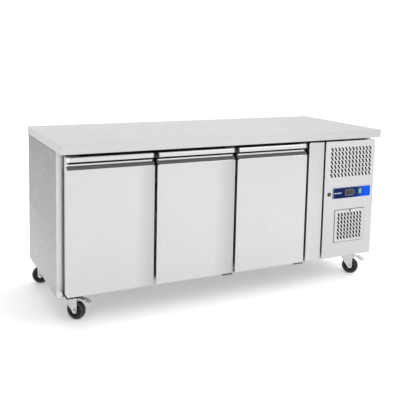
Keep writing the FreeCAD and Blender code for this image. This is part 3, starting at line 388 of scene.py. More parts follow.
# painted shade: the side panels' low tone and their fades, with a lighter painted tone on the front return
brushed("steel_side", 0.40, "z", 0.26, 0.38, front=0.60,
        painted_shades=[("Z", 150, 800, (1.12, 0.69, 0.53)), ("Y", -268, 340, (1.0, 0.92))])
brushed("steel_inner", 0.60, "x", 0.2, 0.32)
brushed("steel_frame", 0.51, "x", 0.26, 0.38)
brushed("extrusion", PROFILE_TONE, "x", 0.22, 0.34)
plated("galvanised", 0.48, 0.35, 0.5, 26)
plated("zinc", 0.56, 0.22, 0.36, 90, 0.006)
plated("bright_steel", 0.64, 0.12, 0.22, 200)
plated("dull_steel", 0.50, 0.28, 0.4, 140)
plated("mill_aluminium", 0.62, 0.28, 0.4, 140)
painted("black_paint", (0.012, 0.012, 0.013))
painted("coated_wire", (0.62, 0.62, 0.61), 0.25, 0.4)
moulded("black_moulding", (0.012, 0.012, 0.014), level=0.3)
# painted shade: black for the frame's shaded gaps and the uprights' slot openings
moulded("black_painted_shade", (0.006, 0.006, 0.007), 0.6, 0.8, level=0.1)
moulded("dark_trim", (0.030, 0.030, 0.032), 0.5, 0.7, level=0.2)
# painted shade for the handle's finger channel
moulded("slit_painted_shade", (0.045, 0.045, 0.047), 0.5, 0.7, level=0.2)
# painted shade on the handle's slope under the ridge; also the lock plug's dark face
moulded("sill_trim", (0.090, 0.090, 0.092), 0.45, 0.6, level=0.25)
moulded("grey_trim", (0.085, 0.10, 0.13), 0.4, 0.5, level=0.3)
moulded("digit_trim", (0.11, 0.12, 0.13), 0.4, 0.5, level=0.2)
moulded("pale_trim", (0.46, 0.53, 0.66), 0.35, 0.5, level=0.3)
moulded("white_moulding", (0.80, 0.80, 0.78), 0.3, 0.42)
moulded("pedal_plastic", (0.58, 0.58, 0.57), 0.4, 0.55)
moulded("hub_plastic", (0.035, 0.035, 0.038), 0.35, 0.5)
rubbery("tyre_rubber", (0.012, 0.012, 0.013))
# paler rubber of the tyre's sidewall rings: painted highlight
rubbery("ring_painted_highlight", (0.10, 0.10, 0.105), 0.5, 0.65)
rubbery("seal_rubber", (0.045, 0.045, 0.05), 0.45, 0.6, 0.2)
lit("green_lens", (0.09, 0.30, 0.31), 0.14)
copper()
foam("insulation", (0.62, 0.52, 0.28), (0.73, 0.63, 0.40), 900)
foam("filter_foam", (0.004, 0.004, 0.005), (0.010, 0.010, 0.011), 420)
overlay()
smoked()
end_caps("caps_1", 1, WHITE, BLACK)
end_caps("caps_2", 2, BLACK, BLACK)
end_caps("caps_3", 3, BLACK, BLACK)
floor_finish()

NODE_FINISH = {
    "worktop": "steel_top", "side_panel_left": "steel_side", "side_panel_right": "steel_side",
    "back_panel": "galvanised", "base_panel": "galvanised", "inner_liner": "steel_inner",
    "cabinet_insulation": "insulation", "bay_partition": "galvanised",
    "front_frame": "steel_frame", "pillar_cover": "steel_front", "hinge_brackets": "black_paint",
    "hinge_pins": "bright_steel", "shelf_supports": "steel_inner",
    "condenser_coil": "mill_aluminium", "fan_shroud": "galvanised",
    "condenser_fan_motor": "black_paint", "condenser_fan": "mill_aluminium",
    "compressor": "black_paint", "refrigerant_pipes": "copper",
    "evaporator_cover": "white_moulding", "evaporator_coil": "mill_aluminium",
    "evaporator_fan": "black_moulding", "cable_gland": "black_moulding",
    "castor_plates": "zinc", "machine_panel": "steel_panel", "filter_flap": "steel_panel",
    "control_fascia": "overlay", "display_window": "smoked", "key_up": "overlay",
    "key_down": "overlay", "power_switch": "green_lens", "lock_barrel": "black_moulding",
}
for number in DOORS:
    NODE_FINISH[f"door_{number}_skin"] = f"steel_door_{number}"
    NODE_FINISH[f"door_{number}_handle"] = "extrusion"
    NODE_FINISH[f"door_{number}_end_caps"] = f"caps_{number}"
    NODE_FINISH[f"door_{number}_liner"] = "steel_inner"
    NODE_FINISH[f"shelf_{number}"] = "coated_wire"
CASTORS = ("front_left", "front_right", "rear_left", "rear_right")
for corner in CASTORS:
    NODE_FINISH[f"castor_fork_{corner}"] = "zinc"
    NODE_FINISH[f"castor_wheel_{corner}"] = "tyre_rubber"
for corner in CASTORS[:2]:
    NODE_FINISH[f"brake_pedal_{corner}"] = "zinc"

# the radius on each node's edges
EDGE = {
    "worktop": 1.2, "pillar_cover": 0.6, "machine_panel": 0.2, "filter_flap": 0.2,
    "control_fascia": 0.8, "power_switch": 0.8, "lock_barrel": 0.5, "hinge_brackets": 0.6,
    "key_up": 0.5, "key_down": 0.5, "side_panel_left": 0.5, "side_panel_right": 0.5,
}
SHEET_EDGE = 0.7


def soften(piece, width, segments=2, angle=32):
    """Joins a mesh's split corners and gives its edges a small radius."""
    weld = piece.modifiers.new("weld", "WELD")
    weld.merge_threshold = 0.00001
    bevel = piece.modifiers.new("edges", "BEVEL")
    bevel.width = width * MM
    bevel.segments = segments
    bevel.limit_method = "ANGLE"
    bevel.angle_limit = math.radians(angle)
    bevel.use_clamp_overlap = True


def dress(name, finish):
    piece = frame["nodes"][name]
    piece.data.materials.clear()
    piece.data.materials.append(FINISHES[finish])
    if name in EDGE:
        soften(piece, EDGE[name])
    elif name.endswith(("_skin", "_handle", "_end_caps", "_liner")):
        soften(piece, SHEET_EDGE)


for node_name, finish_name in NODE_FINISH.items():
    dress(node_name, finish_name)

# ---------------------------------------------------------------- making pieces

def finish_piece(name, work, finish, body, smooth=35, turn=None):
    """Puts a mesh in the scene with its finish, riding on a body."""
    bmesh.ops.recalc_face_normals(work, faces=work.faces)
    mesh = bpy.data.meshes.new(name)
    work.to_mesh(mesh)
    work.free()
    if turn is not None:
        mesh.transform(turn)
    mesh.materials.append(FINISHES[finish])
    if smooth:
        mesh.shade_smooth()
        mesh.set_sharp_from_angle(angle=math.radians(smooth))
    piece = bpy.data.objects.new(name, mesh)
    bpy.context.scene.collection.objects.link(piece)
    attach(piece, body)
    return piece


def mm(*values):
    return Vector(values) * MM


def corners(node):
    """A node's lowest and highest corners in mm."""
    low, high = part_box(node)
    return low / MM, high / MM


def pivot(joint):
    """A joint's place in mm."""
    rows = frame["record"]["behaviour"]["joints"]
    return Vector(next(row for row in rows if row["name"] == joint)["pos_m"]) / MM


def facing(place, axis):
    """The turn that takes the origin to a place in mm, and +Z to an axis."""
    turn = Vector((0, 0, 1)).rotation_difference(Vector(axis).normalized())
    return Matrix.Translation(Vector(place) * MM) @ turn.to_matrix().to_4x4()


def lathe(work, profile, place, axis, steps=32, closed=False):
    """Adds a turned solid: (radius, height) pairs from axis to axis, or a closed ring's section."""
    turn = facing(place, axis)
    rings = []
    for radius, height in profile:
        count = steps if radius > 1e-6 else 1
        angles = (i * math.tau / steps for i in range(count))
        rings.append([work.verts.new(turn @ mm(radius * math.cos(a), radius * math.sin(a), height))
                      for a in angles])
    pairs = list(zip(rings, rings[1:])) + ([(rings[-1], rings[0])] if closed else [])
    for low, high in pairs:
        for i in range(steps):
            j = (i + 1) % steps
            loop = [low[i % len(low)], low[j % len(low)], high[j % len(high)], high[i % len(high)]]
            loop = list(dict.fromkeys(loop))
            if len(loop) > 2:
                work.faces.new(loop)


def block(work, low, high, bevel=0.0):
    """Adds a block with rounded edges."""
    low, size = Vector(low), Vector(high) - Vector(low)
    made = bmesh.ops.create_cube(work, size=1.0)["verts"]
    for vert in made:
        share = vert.co + Vector((0.5, 0.5, 0.5))
        vert.co = (low + share * size) * MM
    if bevel:
        edges = list({edge for vert in made for edge in vert.link_edges})
        bmesh.ops.bevel(work, geom=edges, offset=bevel * MM, segments=2, profile=0.5,
                        affect="EDGES")


SPOT = {
    "yz": lambda a, b, h: mm(h, a, b),
    "xz": lambda a, b, h: mm(a, h, b),
    "xy": lambda a, b, h: mm(a, b, h),
}


def prism(work, outline, plane, low, high):
    """Adds a straight prism: plane "yz" runs along X, and so on."""
    ends = [[work.verts.new(SPOT[plane](a, b, level)) for a, b in outline] for level in (low, high)]
    work.faces.new(ends[0])
    work.faces.new(list(reversed(ends[1])))
    for i in range(len(outline)):
        j = (i + 1) % len(outline)
        work.faces.new([ends[0][i], ends[0][j], ends[1][j], ends[1][i]])


def rounded(low, high, radius, steps=5):
    """A rectangle's outline with round corners."""
    (x0, y0), (x1, y1) = low, high
    turns = ((x1 - radius, y1 - radius, 0), (x0 + radius, y1 - radius, 90),
             (x0 + radius, y0 + radius, 180), (x1 - radius, y0 + radius, 270))
    points = []
    for cx, cy, start in turns:
        for i in range(steps + 1):
            angle = math.radians(start + 90 * i / steps)
            points.append((cx + radius * math.cos(angle), cy + radius * math.sin(angle)))
    return points


def inset(low, high, by, radius):
    """A node's outline in its XZ face, moved in by a distance."""
    return rounded((low.x + by, low.z + by), (high.x - by, high.z - by), radius)


def rim(work, outer, inner, plane, low, high):
    """Adds a frame between two outlines with the same number of points."""
    loops = [[work.verts.new(SPOT[plane](a, b, level)) for a, b in outline]
             for level in (low, high) for outline in (outer, inner)]
    outer_low, inner_low, outer_high, inner_high = loops
    for i in range(len(outer)):
        j = (i + 1) % len(outer)
        for first, second in ((outer_low, outer_high), (inner_high, inner_low),
                              (inner_low, outer_low), (outer_high, inner_high)):
            work.faces.new([first[i], first[j], second[j], second[i]])


def ribbon(work, path, thickness, low, high):
    """Adds a thin sheet along X whose section follows a path of (y, z) points."""
    spots = [Vector(p) for p in path]
    far_side = []
    for i, spot in enumerate(spots):
        run = (spots[min(i + 1, len(spots) - 1)] - spots[max(i - 1, 0)]).normalized()
        far_side.append(spot + Vector((-run.y, run.x)) * thickness)
    prism(work, [tuple(p) for p in spots + far_side[::-1]], "yz", low, high)


def tube(work, points, radius, steps=10, closed=False):
    """Adds a round wire through points."""
    spots = [Vector(p) for p in points]
    count = len(spots)
    rings, side = [], None
    for i, spot in enumerate(spots):
        if closed:
            run = spots[(i + 1) % count] - spots[i - 1]
        else:
            run = spots[min(i + 1, count - 1)] - spots[max(i - 1, 0)]
        run.normalize()
        side = run.orthogonal() if side is None else side - run * side.dot(run)
        side.normalize()
        other = run.cross(side)
        angles = [k * math.tau / steps for k in range(steps)]
        rings.append([work.verts.new(
            MM * (spot + radius * (side * math.cos(a) + other * math.sin(a)))) for a in angles])
    pairs = list(zip(rings, rings[1:])) + ([(rings[-1], rings[0])] if closed else [])
    for low, high in pairs:
        for k in range(steps):
            n = (k + 1) % steps
            work.faces.new([low[k], low[n], high[n], high[k]])
    if not closed:
        work.faces.new(rings[0])
        work.faces.new(list(reversed(rings[-1])))


PAN_HEAD = ((0, 1.9), (1.6, 1.8), (2.9, 1.35), (3.6, 0.6), (3.7, 0), (3.4, -0.4), (0, -0.4))
HEX_BOLT = ((0, 4.0), (4.6, 4.0), (5.6, 3.4), (5.7, 0.2), (5.2, 0), (0, 0))
WASHER = ((4, 0), (8.2, 0), (8.2, 1.2), (4, 1.2))


def screws(name, places, axis, finish, body, scale=1.0):
    """Pan-head screws, each with a cross recess."""
    work = bmesh.new()
    profile = [(r * scale, rise * scale) for r, rise in PAN_HEAD]
    for place in places:
        lathe(work, profile, place, axis, 20)
        turn = facing(place, axis)
        spin = random.uniform(0, math.pi)
        for angle in (spin, spin + math.pi / 2):
            bar = turn @ Matrix.Rotation(angle, 4, "Z")
            for vert in bmesh.ops.create_cube(work, size=1.0)["verts"]:
                vert.co = bar @ (mm(vert.co.x * 3.6, vert.co.y * 0.7, 1.75 + vert.co.z * 0.5) * scale)
    return finish_piece(name, work, finish, body)


# ---------------------------------------------------------------- doors

# the handle's section: depths behind the door's face, and levels below its top
NOSE_HEIGHT, NOSE_WALL, GRIP_CEILING, GRIP_DEPTH = 21, 5, 9, 26
GRIP_FLOOR, RIDGE_DEPTH, RIDGE_FOOT, FOOT_LIP = 31, 17, 40, 2
LINING = 0.45
SILL = 0.5
# the seal's section: distance in from the door's outer edge of the seal, and depth behind the door
BELLOWS = (
    (0, 0), (0.6, 2.2), (2.2, 3.4), (1.2, 5.6), (2.6, 7.8), (1.4, 10.0), (2.2, 12.4), (0.8, 14.2),
    (0.4, 16.6), (1.4, 17.4), (12.6, 17.4), (13.6, 16.6), (13.2, 14.2), (11.8, 12.4), (12.6, 10.0),
    (11.4, 7.8), (12.8, 5.6), (11.8, 3.4), (13.4, 2.2), (14, 0),
)


def dress_handle(number):
    """Painted shade: a black lining in the finger channel, where the light does not reach, and a dark sill
    on the shaded slope under the ridge.
    """
    body = f"door_{number}"
    skin_low, skin_high = corners(f"door_{number}_skin")
    low, high = corners(f"door_{number}_handle")
    ends = (skin_low.x + CAP_FACE, skin_high.x - CAP_FACE)
    face, top = low.y, high.z
    back, floor = face + GRIP_DEPTH - LINING, top - GRIP_FLOOR + LINING
    painted_shade_path = ((face + RIDGE_DEPTH + 2, floor), (back - 3, floor), (back, floor + 3),
              (back, top - GRIP_CEILING - LINING), (face + NOSE_WALL + LINING, top - GRIP_CEILING - LINING),
              (face + NOSE_WALL + LINING, top - NOSE_HEIGHT + 0.5))
    work = bmesh.new()
    # painted shade: the dark of the finger channel
    ribbon(work, painted_shade_path, -LINING * 0.8, *ends)
    finish_piece(f"handle_painted_shade_{number}", work, "slit_painted_shade", body, 0)
    # painted shade: the dark band on the slope under the ridge
    ridge_y, ridge_z = face + RIDGE_DEPTH, top - RIDGE_FOOT
    work = bmesh.new()
    ribbon(work, ((ridge_y - 0.3, ridge_z - 0.2), (face + 0.6, low.z + FOOT_LIP + 0.9)), -SILL,
           skin_low.x + SILL, skin_high.x - SILL)
    finish_piece(f"handle_sill_painted_shade_{number}", work, "sill_trim", body, 0)


def dress_seal(number):
    """The magnetic seal's bellows section, mitred at its corners."""
    low, high = corners(f"door_{number}_seal")
    work = bmesh.new()
    loops = []
    for right, upper in ((0, 0), (1, 0), (1, 1), (0, 1)):
        loops.append([work.verts.new(mm(high.x - cut if right else low.x + cut, low.y + depth,
                                        high.z - cut if upper else low.z + cut))
                      for cut, depth in BELLOWS])
    for first, second in zip(loops, loops[1:] + loops[:1]):
        for i in range(len(BELLOWS)):
            j = (i + 1) % len(BELLOWS)
            work.faces.new([first[i], first[j], second[j], second[i]])
    seal = finish_piece(f"bellows_seal_{number}", work, "seal_rubber", f"door_{number}", 40)
    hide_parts(f"door_{number}_seal")


def dress_liner(number):
    """The raised panel pressed into the door's inner sheet."""
    low, high = corners(f"door_{number}_liner")
    steps = ((42, 0.05), (46, 0.9), (52, 1.6), (60, 1.9))
    work = bmesh.new()
    rings = [[work.verts.new(mm(x, high.y + rise, z)) for x, z in inset(low, high, by, 14)]
             for by, rise in steps]
    for first, second in zip(rings, rings[1:]):
        for i in range(len(first)):
            j = (i + 1) % len(first)
            work.faces.new([first[i], first[j], second[j], second[i]])
    work.faces.new(rings[-1])
    work.faces.new(list(reversed(rings[0])))
    finish_piece(f"liner_pressing_{number}", work, "steel_inner", f"door_{number}", 30)


# ---------------------------------------------------------------- cabinet

STRIP = (-0.9, -0.02)
HEM = 2.4
BEAD = 1.9


def dress_front():
    """Painted shade: black strips on the frame along its top rail and behind each upright gap, where the
    gaps lie in shade.
    """
    low, high = corners("front_frame")
    plane = corners("pillar_cover")[1].y
    y0, y1 = plane + STRIP[0], plane + STRIP[1]
    edges = [corners(f"door_{number}_skin") for number in DOORS]
    edges += [corners("pillar_cover"), corners("machine_panel")]
    door_top = corners("door_1_handle")[1].z
    work = bmesh.new()
    block(work, (low.x, y0, door_top - 12), (high.x, y1, high.z - 0.2), 0.3)
    for before, after in zip(edges, edges[1:]):
        block(work, (before[1].x - 9, y0, edges[0][0].z + 4), (after[0].x + 9, y1, door_top - 12.2), 0.3)
    finish_piece("gap_painted_shade", work, "black_painted_shade", "cabinet", 30)


def dress_hem():
    """The folded hem under the worktop's front lip."""
    low, high = corners("worktop")
    work = bmesh.new()
    block(work, (low.x + 1.5, low.y + 0.6, low.z - HEM), (high.x - 1.5, low.y + 3.0, low.z + 0.4), 0.5)
    finish_piece("worktop_hem", work, "steel_top", "cabinet", 30)


def dress_joints():
    """Painted shadow: a dark bead along the shadow line between the worktop's lip and the cabinet."""
    level = corners("worktop")[0].z - BEAD
    left, front = corners("side_panel_left")[0].x, corners("side_panel_left")[0].y
    back = corners("back_panel")[1].y
    work = bmesh.new()
    for x in (left, -left):
        tube(work, [(x, front + 1, level), (x, 0, level), (x, back, level)], BEAD, 8)
    tube(work, [(left, back, level), (0, back, level), (-left, back, level)], BEAD, 8)
    finish_piece("joint_painted_shadow", work, "dark_trim", "cabinet")


def dress_back():
    """Screws round the back sheets and the cable entry."""
    low, high = corners("back_panel")
    seam = corners("bay_partition")[0].x + 3
    places = []
    for i in range(9):
        x = low.x + 15 + i * (high.x - low.x - 30) / 8
        places += [(x, high.y, high.z - 13), (x, high.y, low.z + 14)]
    for i in range(1, 5):
        z = low.z + i * (high.z - low.z) / 5
        places += [(x, high.y, z) for x in (low.x + 15, seam - 14, seam + 14, high.x - 15)]
    gland = corners("cable_gland")
    middle = (gland[0] + gland[1]) / 2
    places += [(middle.x - 40, high.y, middle.z), (middle.x + 40, high.y, middle.z)]
    screws("back_screws", places, (0, 1, 0), "bright_steel", "cabinet")
    ring = ((4.7, 8.0), (9.6, 8.0), (13.5, 6.2), (16.2, 6.1), (16.2, 0.2), (4.7, 0.2))
    work = bmesh.new()
    lathe(work, ring, (middle.x, high.y, middle.z), (0, 1, 0), 12, closed=True)
    finish_piece("gland_cap", work, "black_moulding", "cabinet", 30)


def dress_brackets():
    """Two screws through each hinge bracket's flange."""
    low, high = corners("hinge_brackets")
    places = []
    for number in DOORS:
        pin = pivot(f"door_{number}_hinge").x
        inward = 1 if number == 1 else -1
        for x in (pin + inward * 8, pin + inward * 34):
            places += [(x, high.y - 3, high.z - 6), (x, high.y - 3, low.z + 7)]
    screws("bracket_screws", places, (0, -1, 0), "bright_steel", "cabinet", 0.8)


def dress_uprights():
    """The pressed slots that the shelf clips hang in, drawn as thin black shapes: painted shade in place of
    the openings.
    """
    low, high = corners("shelf_supports")
    work = bmesh.new()
    for number in DOORS:
        shelf_low, shelf_high = corners(f"shelf_{number}")
        centre = (shelf_low.x + shelf_high.x) / 2
        for side in (-1, 1):
            x = centre + side * 164.9
            for y in (low.y + 11, high.y - 11):
                for k in range(22):
                    z = low.z + 18 + k * 24
                    prism(work, rounded((y - 3, z - 7), (y + 3, z + 7), 2.9, 3), "yz", x - 0.15,
                          x + 0.15)
    finish_piece("upright_slots", work, "black_painted_shade", "cabinet", 0)


# ---------------------------------------------------------------- machine panel and controls

def dress_vents():
    """Black filter pads behind both grilles, and the flap's gasket, catch and screws."""
    low, high = corners("machine_panel")
    work = bmesh.new()
    block(work, (low.x + 24, low.y + 1.1, high.z - 192), (high.x - 16, low.y + 6, high.z - 20), 1.0)
    finish_piece("grille_filter", work, "filter_foam", "machine_door", 30)

    low, high = corners("filter_flap")
    front = low.y
    work = bmesh.new()
    block(work, (low.x + 10, high.y - 8.2, low.z + 10), (high.x - 10, high.y - 1.5, high.z - 10), 1.0)
    finish_piece("flap_filter", work, "filter_foam", "filter_flap", 30)
    panel_face = corners("machine_panel")[0].y
    work = bmesh.new()
    rim(work, inset(low, high, -2.6, 4), inset(low, high, 3, 2), "xz", panel_face - 0.35, panel_face)
    finish_piece("flap_gasket", work, "dark_trim", "machine_door", 0)
    x = (low.x + high.x) / 2
    work = bmesh.new()
    catch = ((0, 1.5), (3.8, 1.4), (5.2, 1.0), (5.6, 0.4), (5.6, -0.3), (0, -0.3))
    lathe(work, catch, (x, front, high.z - 6.5), (0, -1, 0), 28)
    block(work, (x - 0.8, front - 2.3, high.z - 10.2), (x + 0.8, front - 1.2, high.z - 2.8), 0.3)
    finish_piece("flap_catch", work, "black_moulding", "filter_flap")
    places = [(px, front, pz) for px in (low.x + 5.5, high.x - 5.5)
              for pz in (low.z + 5.5, high.z - 5.5)]
    screws("flap_screws", places, (0, -1, 0), "dull_steel", "filter_flap", 0.75)


def dress_lock():
    """The lock's escutcheon and the dark face of its plug."""
    low, _ = corners("lock_barrel")
    x, z = pivot("lock_turn").x, pivot("lock_turn").z
    panel_face = corners("machine_panel")[0].y
    work = bmesh.new()
    ring = ((9.7, -0.2), (12.8, -0.2), (13.2, 0.3), (12.8, 1.2), (11.9, 1.6), (11.4, 1.2), (11.2, 0.3))
    lathe(work, ring, (x, panel_face, z), (0, -1, 0), 40, closed=True)
    finish_piece("lock_ring", work, "dull_steel", "machine_door")
    work = bmesh.new()
    face = ((0, 0.7), (4.6, 0.7), (5.2, 0.4), (5.3, 0), (0, 0))
    lathe(work, face, (x, low.y, z), (0, -1, 0), 32)
    block(work, (x - 0.5, low.y - 1.0, z - 3.2), (x + 0.5, low.y - 0.4, z + 3.2), 0.2)
    finish_piece("lock_face", work, "sill_trim", "lock")


# each bar of a seven-segment digit: its start and end in half-heights and widths
SEGMENTS = {"a": (0, 2, 1, 2), "b": (1, 1, 1, 2), "c": (1, 0, 1, 1), "d": (0, 0, 1, 0),
            "e": (0, 0, 0, 1), "f": (0, 1, 0, 2), "g": (0, 1, 1, 1)}
DIGITS = {"3": "abcdg", "4": "bcfg"}


def digit(work, sign, x, z, width, height, level):
    """Adds a seven-segment digit drawn as rounded bars."""
    half, gap = 0.6, 0.7
    for key in DIGITS[sign]:
        x0, z0, x1, z1 = SEGMENTS[key]
        start = Vector((x + x0 * width, z + z0 * height / 2))
        end = Vector((x + x1 * width, z + z1 * height / 2))
        reach = Vector((-gap, half)) if z0 == z1 else Vector((half, -gap))
        prism(work, rounded(start - reach, end + reach, 0.5, 3), "xz", level - 0.12, level)


def dress_fascia():
    """Border, display surround, digits, lamps, key symbols, rocker surround and plain marks."""
    low, high = corners("control_fascia")
    face = low.y
    work = bmesh.new()
    rim(work, inset(low, high, -0.6, 2.5), inset(low, high, 0.7, 1.5), "xz", face - 0.35, face + 0.8)
    finish_piece("fascia_border", work, "pale_trim", "machine_door", 30)

    glass_low, glass_high = corners("display_window")
    work = bmesh.new()
    rim(work, inset(glass_low, glass_high, -4.2, 3), inset(glass_low, glass_high, 1.2, 1.5), "xz",
        face - 1.2, face + 0.2)
    finish_piece("display_surround", work, "grey_trim", "machine_door", 30)
    work = bmesh.new()
    digit(work, "3", glass_low.x + 20, glass_low.z + 7, 7, 13, glass_low.y)
    digit(work, "4", glass_low.x + 33, glass_low.z + 7, 7, 13, glass_low.y)
    finish_piece("display_digits", work, "digit_trim", "machine_door", 0)
    work = bmesh.new()
    lens = ((0, 0.9), (0.9, 0.7), (1.5, 0.1), (1.5, -0.2), (0, -0.2))
    for i in range(3):
        lathe(work, lens, (glass_low.x + 8, glass_low.y, glass_low.z + 5 + i * 8.5), (0, -1, 0), 16)
    finish_piece("lamp_lenses", work, "digit_trim", "machine_door")

    for key, tip in (("key_up", 1), ("key_down", -1)):
        cap_low, cap_high = corners(key)
        middle = (cap_low + cap_high) / 2
        outline = [(middle.x - 2.4, middle.z - 1.6 * tip), (middle.x + 2.4, middle.z - 1.6 * tip),
                   (middle.x, middle.z + 2.2 * tip)]
        work = bmesh.new()
        prism(work, outline, "xz", cap_low.y - 0.15, cap_low.y + 0.1)
        finish_piece(f"{key}_sign", work, "pale_trim", key, 0)

    rocker_low, rocker_high = corners("power_switch")
    work = bmesh.new()
    outer = rounded((rocker_low.x - 9, rocker_low.z - 5), (rocker_high.x + 2.6, rocker_high.z + 5), 2.5)
    inner = rounded((rocker_low.x - 0.6, rocker_low.z - 1.0), (rocker_high.x + 0.6, rocker_high.z + 1.0),
                    1.0)
    rim(work, outer, inner, "xz", face - 1.5, face + 0.2)
    finish_piece("switch_surround", work, "black_moulding", "machine_door", 30)
    x = (rocker_low.x + rocker_high.x) / 2
    work = bmesh.new()
    block(work, (x - 0.7, rocker_low.y - 0.1, rocker_high.z - 11), (x + 0.7, rocker_low.y + 1.6,
                                                                rocker_high.z - 4.5), 0.2)
    finish_piece("switch_sign", work, "pale_trim", "power_switch", 30)

    work = bmesh.new()
    x = low.x + 8
    for width in (9, 7, 11, 8):
        prism(work, rounded((x, (low.z + high.z) / 2 - 3), (x + width, (low.z + high.z) / 2 + 3.5), 1.6,
                            3), "xz", face - 0.2, face + 0.1)
        x += width + 3.5
    finish_piece("plain_marks", work, "pale_trim", "machine_door", 0)


# ---------------------------------------------------------------- castors

def dress_castor(corner):
    """Bolts, ball race, axle nuts, sidewall rings in a paler rubber that paints the tyre shoulder's
    highlight, hub ribs, and the brake's pad.
    """
    swivel, axle = pivot(f"swivel_{corner}"), pivot(f"roll_{corner}")
    trail = axle - swivel
    heading = math.atan2(trail.y, trail.x)
    reach, level = math.hypot(trail.x, trail.y), axle.z
    turn = Matrix.Translation(mm(swivel.x, swivel.y, 0)) @ Matrix.Rotation(heading, 4, "Z")
    fork, wheel = f"fork_{corner}", f"wheel_{corner}"
    plate_bottom = corners("castor_plates")[1].z - 3.5
    crown = corners(f"castor_fork_{corner}")[1].z

    work = bmesh.new()
    for sx in (-1, 1):
        for sy in (-1, 1):
            place = (swivel.x + sx * 38, swivel.y + sy * 29, plate_bottom)
            lathe(work, HEX_BOLT, place, (0, 0, -1), 6)
            lathe(work, WASHER, place, (0, 0, -1), 28, closed=True)
    finish_piece(f"plate_bolts_{corner}", work, "bright_steel", "cabinet")

    work = bmesh.new()
    race = ((12, 0.2), (26, 0.2), (30.2, 1.2), (31.0, 3.0), (29.4, 4.8), (27.3, 5.4), (27.3, 2.4),
            (12, 2.4))
    lathe(work, race, (0, 0, crown), (0, 0, 1), 48, closed=True)
    nut = ((0, -14.4), (8.6, -14.4), (9.6, -13.4), (9.7, -6.4), (6.4, -6.1), (0, -6.1))
    lathe(work, nut, (0, 0, crown), (0, 0, 1), 6)
    for side in (-1, 1):
        cap = ((0, 5.2), (5.6, 5.2), (7.0, 4.2), (7.2, 0.2), (0, 0))
        lathe(work, cap, (reach, side * 23.5, level), (0, side, 0), 6)
        lathe(work, WASHER, (reach, side * 22.0, level), (0, side, 0), 32, closed=True)
    finish_piece(f"fork_fittings_{corner}", work, "bright_steel", fork, 35, turn)

    # sidewall beads in a paler rubber: painted highlight along the tyre's shoulder
    work = bmesh.new()
    for side in (-1, 1):
        for radius in (35.2, 39.6):
            bead = [(radius + 0.9 * math.cos(a), 0.8 * math.sin(a))
                    for a in (k * math.pi / 5 for k in range(10))]
            lathe(work, bead, (reach, side * 13.3, level), (0, side, 0), 64, closed=True)
    finish_piece(f"sidewall_painted_highlight_{corner}", work, "ring_painted_highlight", wheel, 35, turn)
    work = bmesh.new()
    for side in (-1, 1):
        for i in range(5):
            spin = facing((reach, side * 6.0, level), (0, side, 0))
            spin = spin @ Matrix.Rotation(math.radians(72 * i + 20), 4, "Z")
            for vert in bmesh.ops.create_cube(work, size=1.0)["verts"]:
                half = 2.5 if vert.co.x < 0 else 1.75
                x = 14 + (vert.co.x + 0.5) * 15
                vert.co = spin @ mm(x, math.copysign(half, vert.co.y), 1.4 + vert.co.z * 3.4)
    finish_piece(f"hub_ribs_{corner}", work, "hub_plastic", wheel, 30, turn)
    if corner in CASTORS[:2]:
        dress_pedal(corner, turn)


# the pad's outline round the lever's tip: distance from the swivel, and level
PAD = ((71.0, 92.6), (71.4, 105.0), (75.4, 106.2), (103.6, 92.0), (104.6, 89.0), (101.8, 82.6),
       (98.6, 81.8))
PAD_HALF = 16


def dress_pedal(corner, turn):
    """The ribbed plastic pad on the brake lever, and the lever's rivets."""
    work = bmesh.new()
    prism(work, PAD, "xz", -PAD_HALF, PAD_HALF)
    bmesh.ops.bevel(work, geom=work.edges[:], offset=1.2 * MM, segments=3, profile=0.6,
                    affect="EDGES")
    (x0, z0), (x1, z1) = PAD[2], PAD[3]
    for i in range(5):
        share = (i + 0.7) / 5.4
        x, z = x0 + share * (x1 - x0), z0 + share * (z1 - z0)
        block(work, (x - 0.8, -14.5, z - 1.0), (x + 0.8, 14.5, z + 0.8), 0.3)
    finish_piece(f"pedal_pad_{corner}", work, "pedal_plastic", f"pedal_{corner}", 35, turn)
    brake = pivot(f"brake_{corner}")
    swivel = pivot(f"swivel_{corner}")
    reach = math.hypot(brake.x - swivel.x, brake.y - swivel.y)
    work = bmesh.new()
    for side in (-1, 1):
        lathe(work, ((0, 2.4), (3.4, 2.2), (4.6, 0.8), (4.7, -0.2), (0, -0.2)),
              (reach, side * 20.5, brake.z), (0, side, 0), 24)
    finish_piece(f"pedal_rivets_{corner}", work, "bright_steel", f"fork_{corner}", 35, turn)


# ---------------------------------------------------------------- machinery

def circle(centre, radius, axis, steps=48):
    """Points round a circle; axis is the letter of its normal."""
    spots = []
    for k in range(steps):
        u, v = radius * math.cos(k * math.tau / steps), radius * math.sin(k * math.tau / steps)
        shift = {"x": (0, u, v), "y": (u, 0, v), "z": (u, v, 0)}[axis]
        spots.append(Vector(centre) + Vector(shift))
    return spots


def dress_condenser():
    """Copper return bends at both ends of the coil, and the fan's wire guard."""
    low, high = corners("condenser_coil")
    middle = (low.y + high.y) / 2
    work = bmesh.new()
    for i in range(6):
        z = low.z + 28 + i * 40
        for x, side in ((low.x + 4, -1), (high.x - 4, 1)):
            arc = [(x + side * (5 * math.sin(a) - 1.5), middle + 11 * math.cos(a), z)
                   for a in (k * math.pi / 8 for k in range(9))]
            tube(work, arc, 3.2)
    finish_piece("return_bends", work, "copper", "cabinet")

    axis = pivot("condenser_fan_spin")
    plane = corners("condenser_fan")[1].y + 3
    work = bmesh.new()
    for radius in range(52, 112, 9):
        tube(work, circle((axis.x, plane, axis.z), radius, "y"), 1.1, 8, closed=True)
    for k in range(8):
        angle = (k + 0.5) * math.pi / 4
        spoke = [(axis.x + r * math.cos(angle), plane + 2, axis.z + r * math.sin(angle))
                 for r in (46, 112)]
        tube(work, spoke, 1.5, 8)
    finish_piece("fan_guard", work, "black_paint", "cabinet")


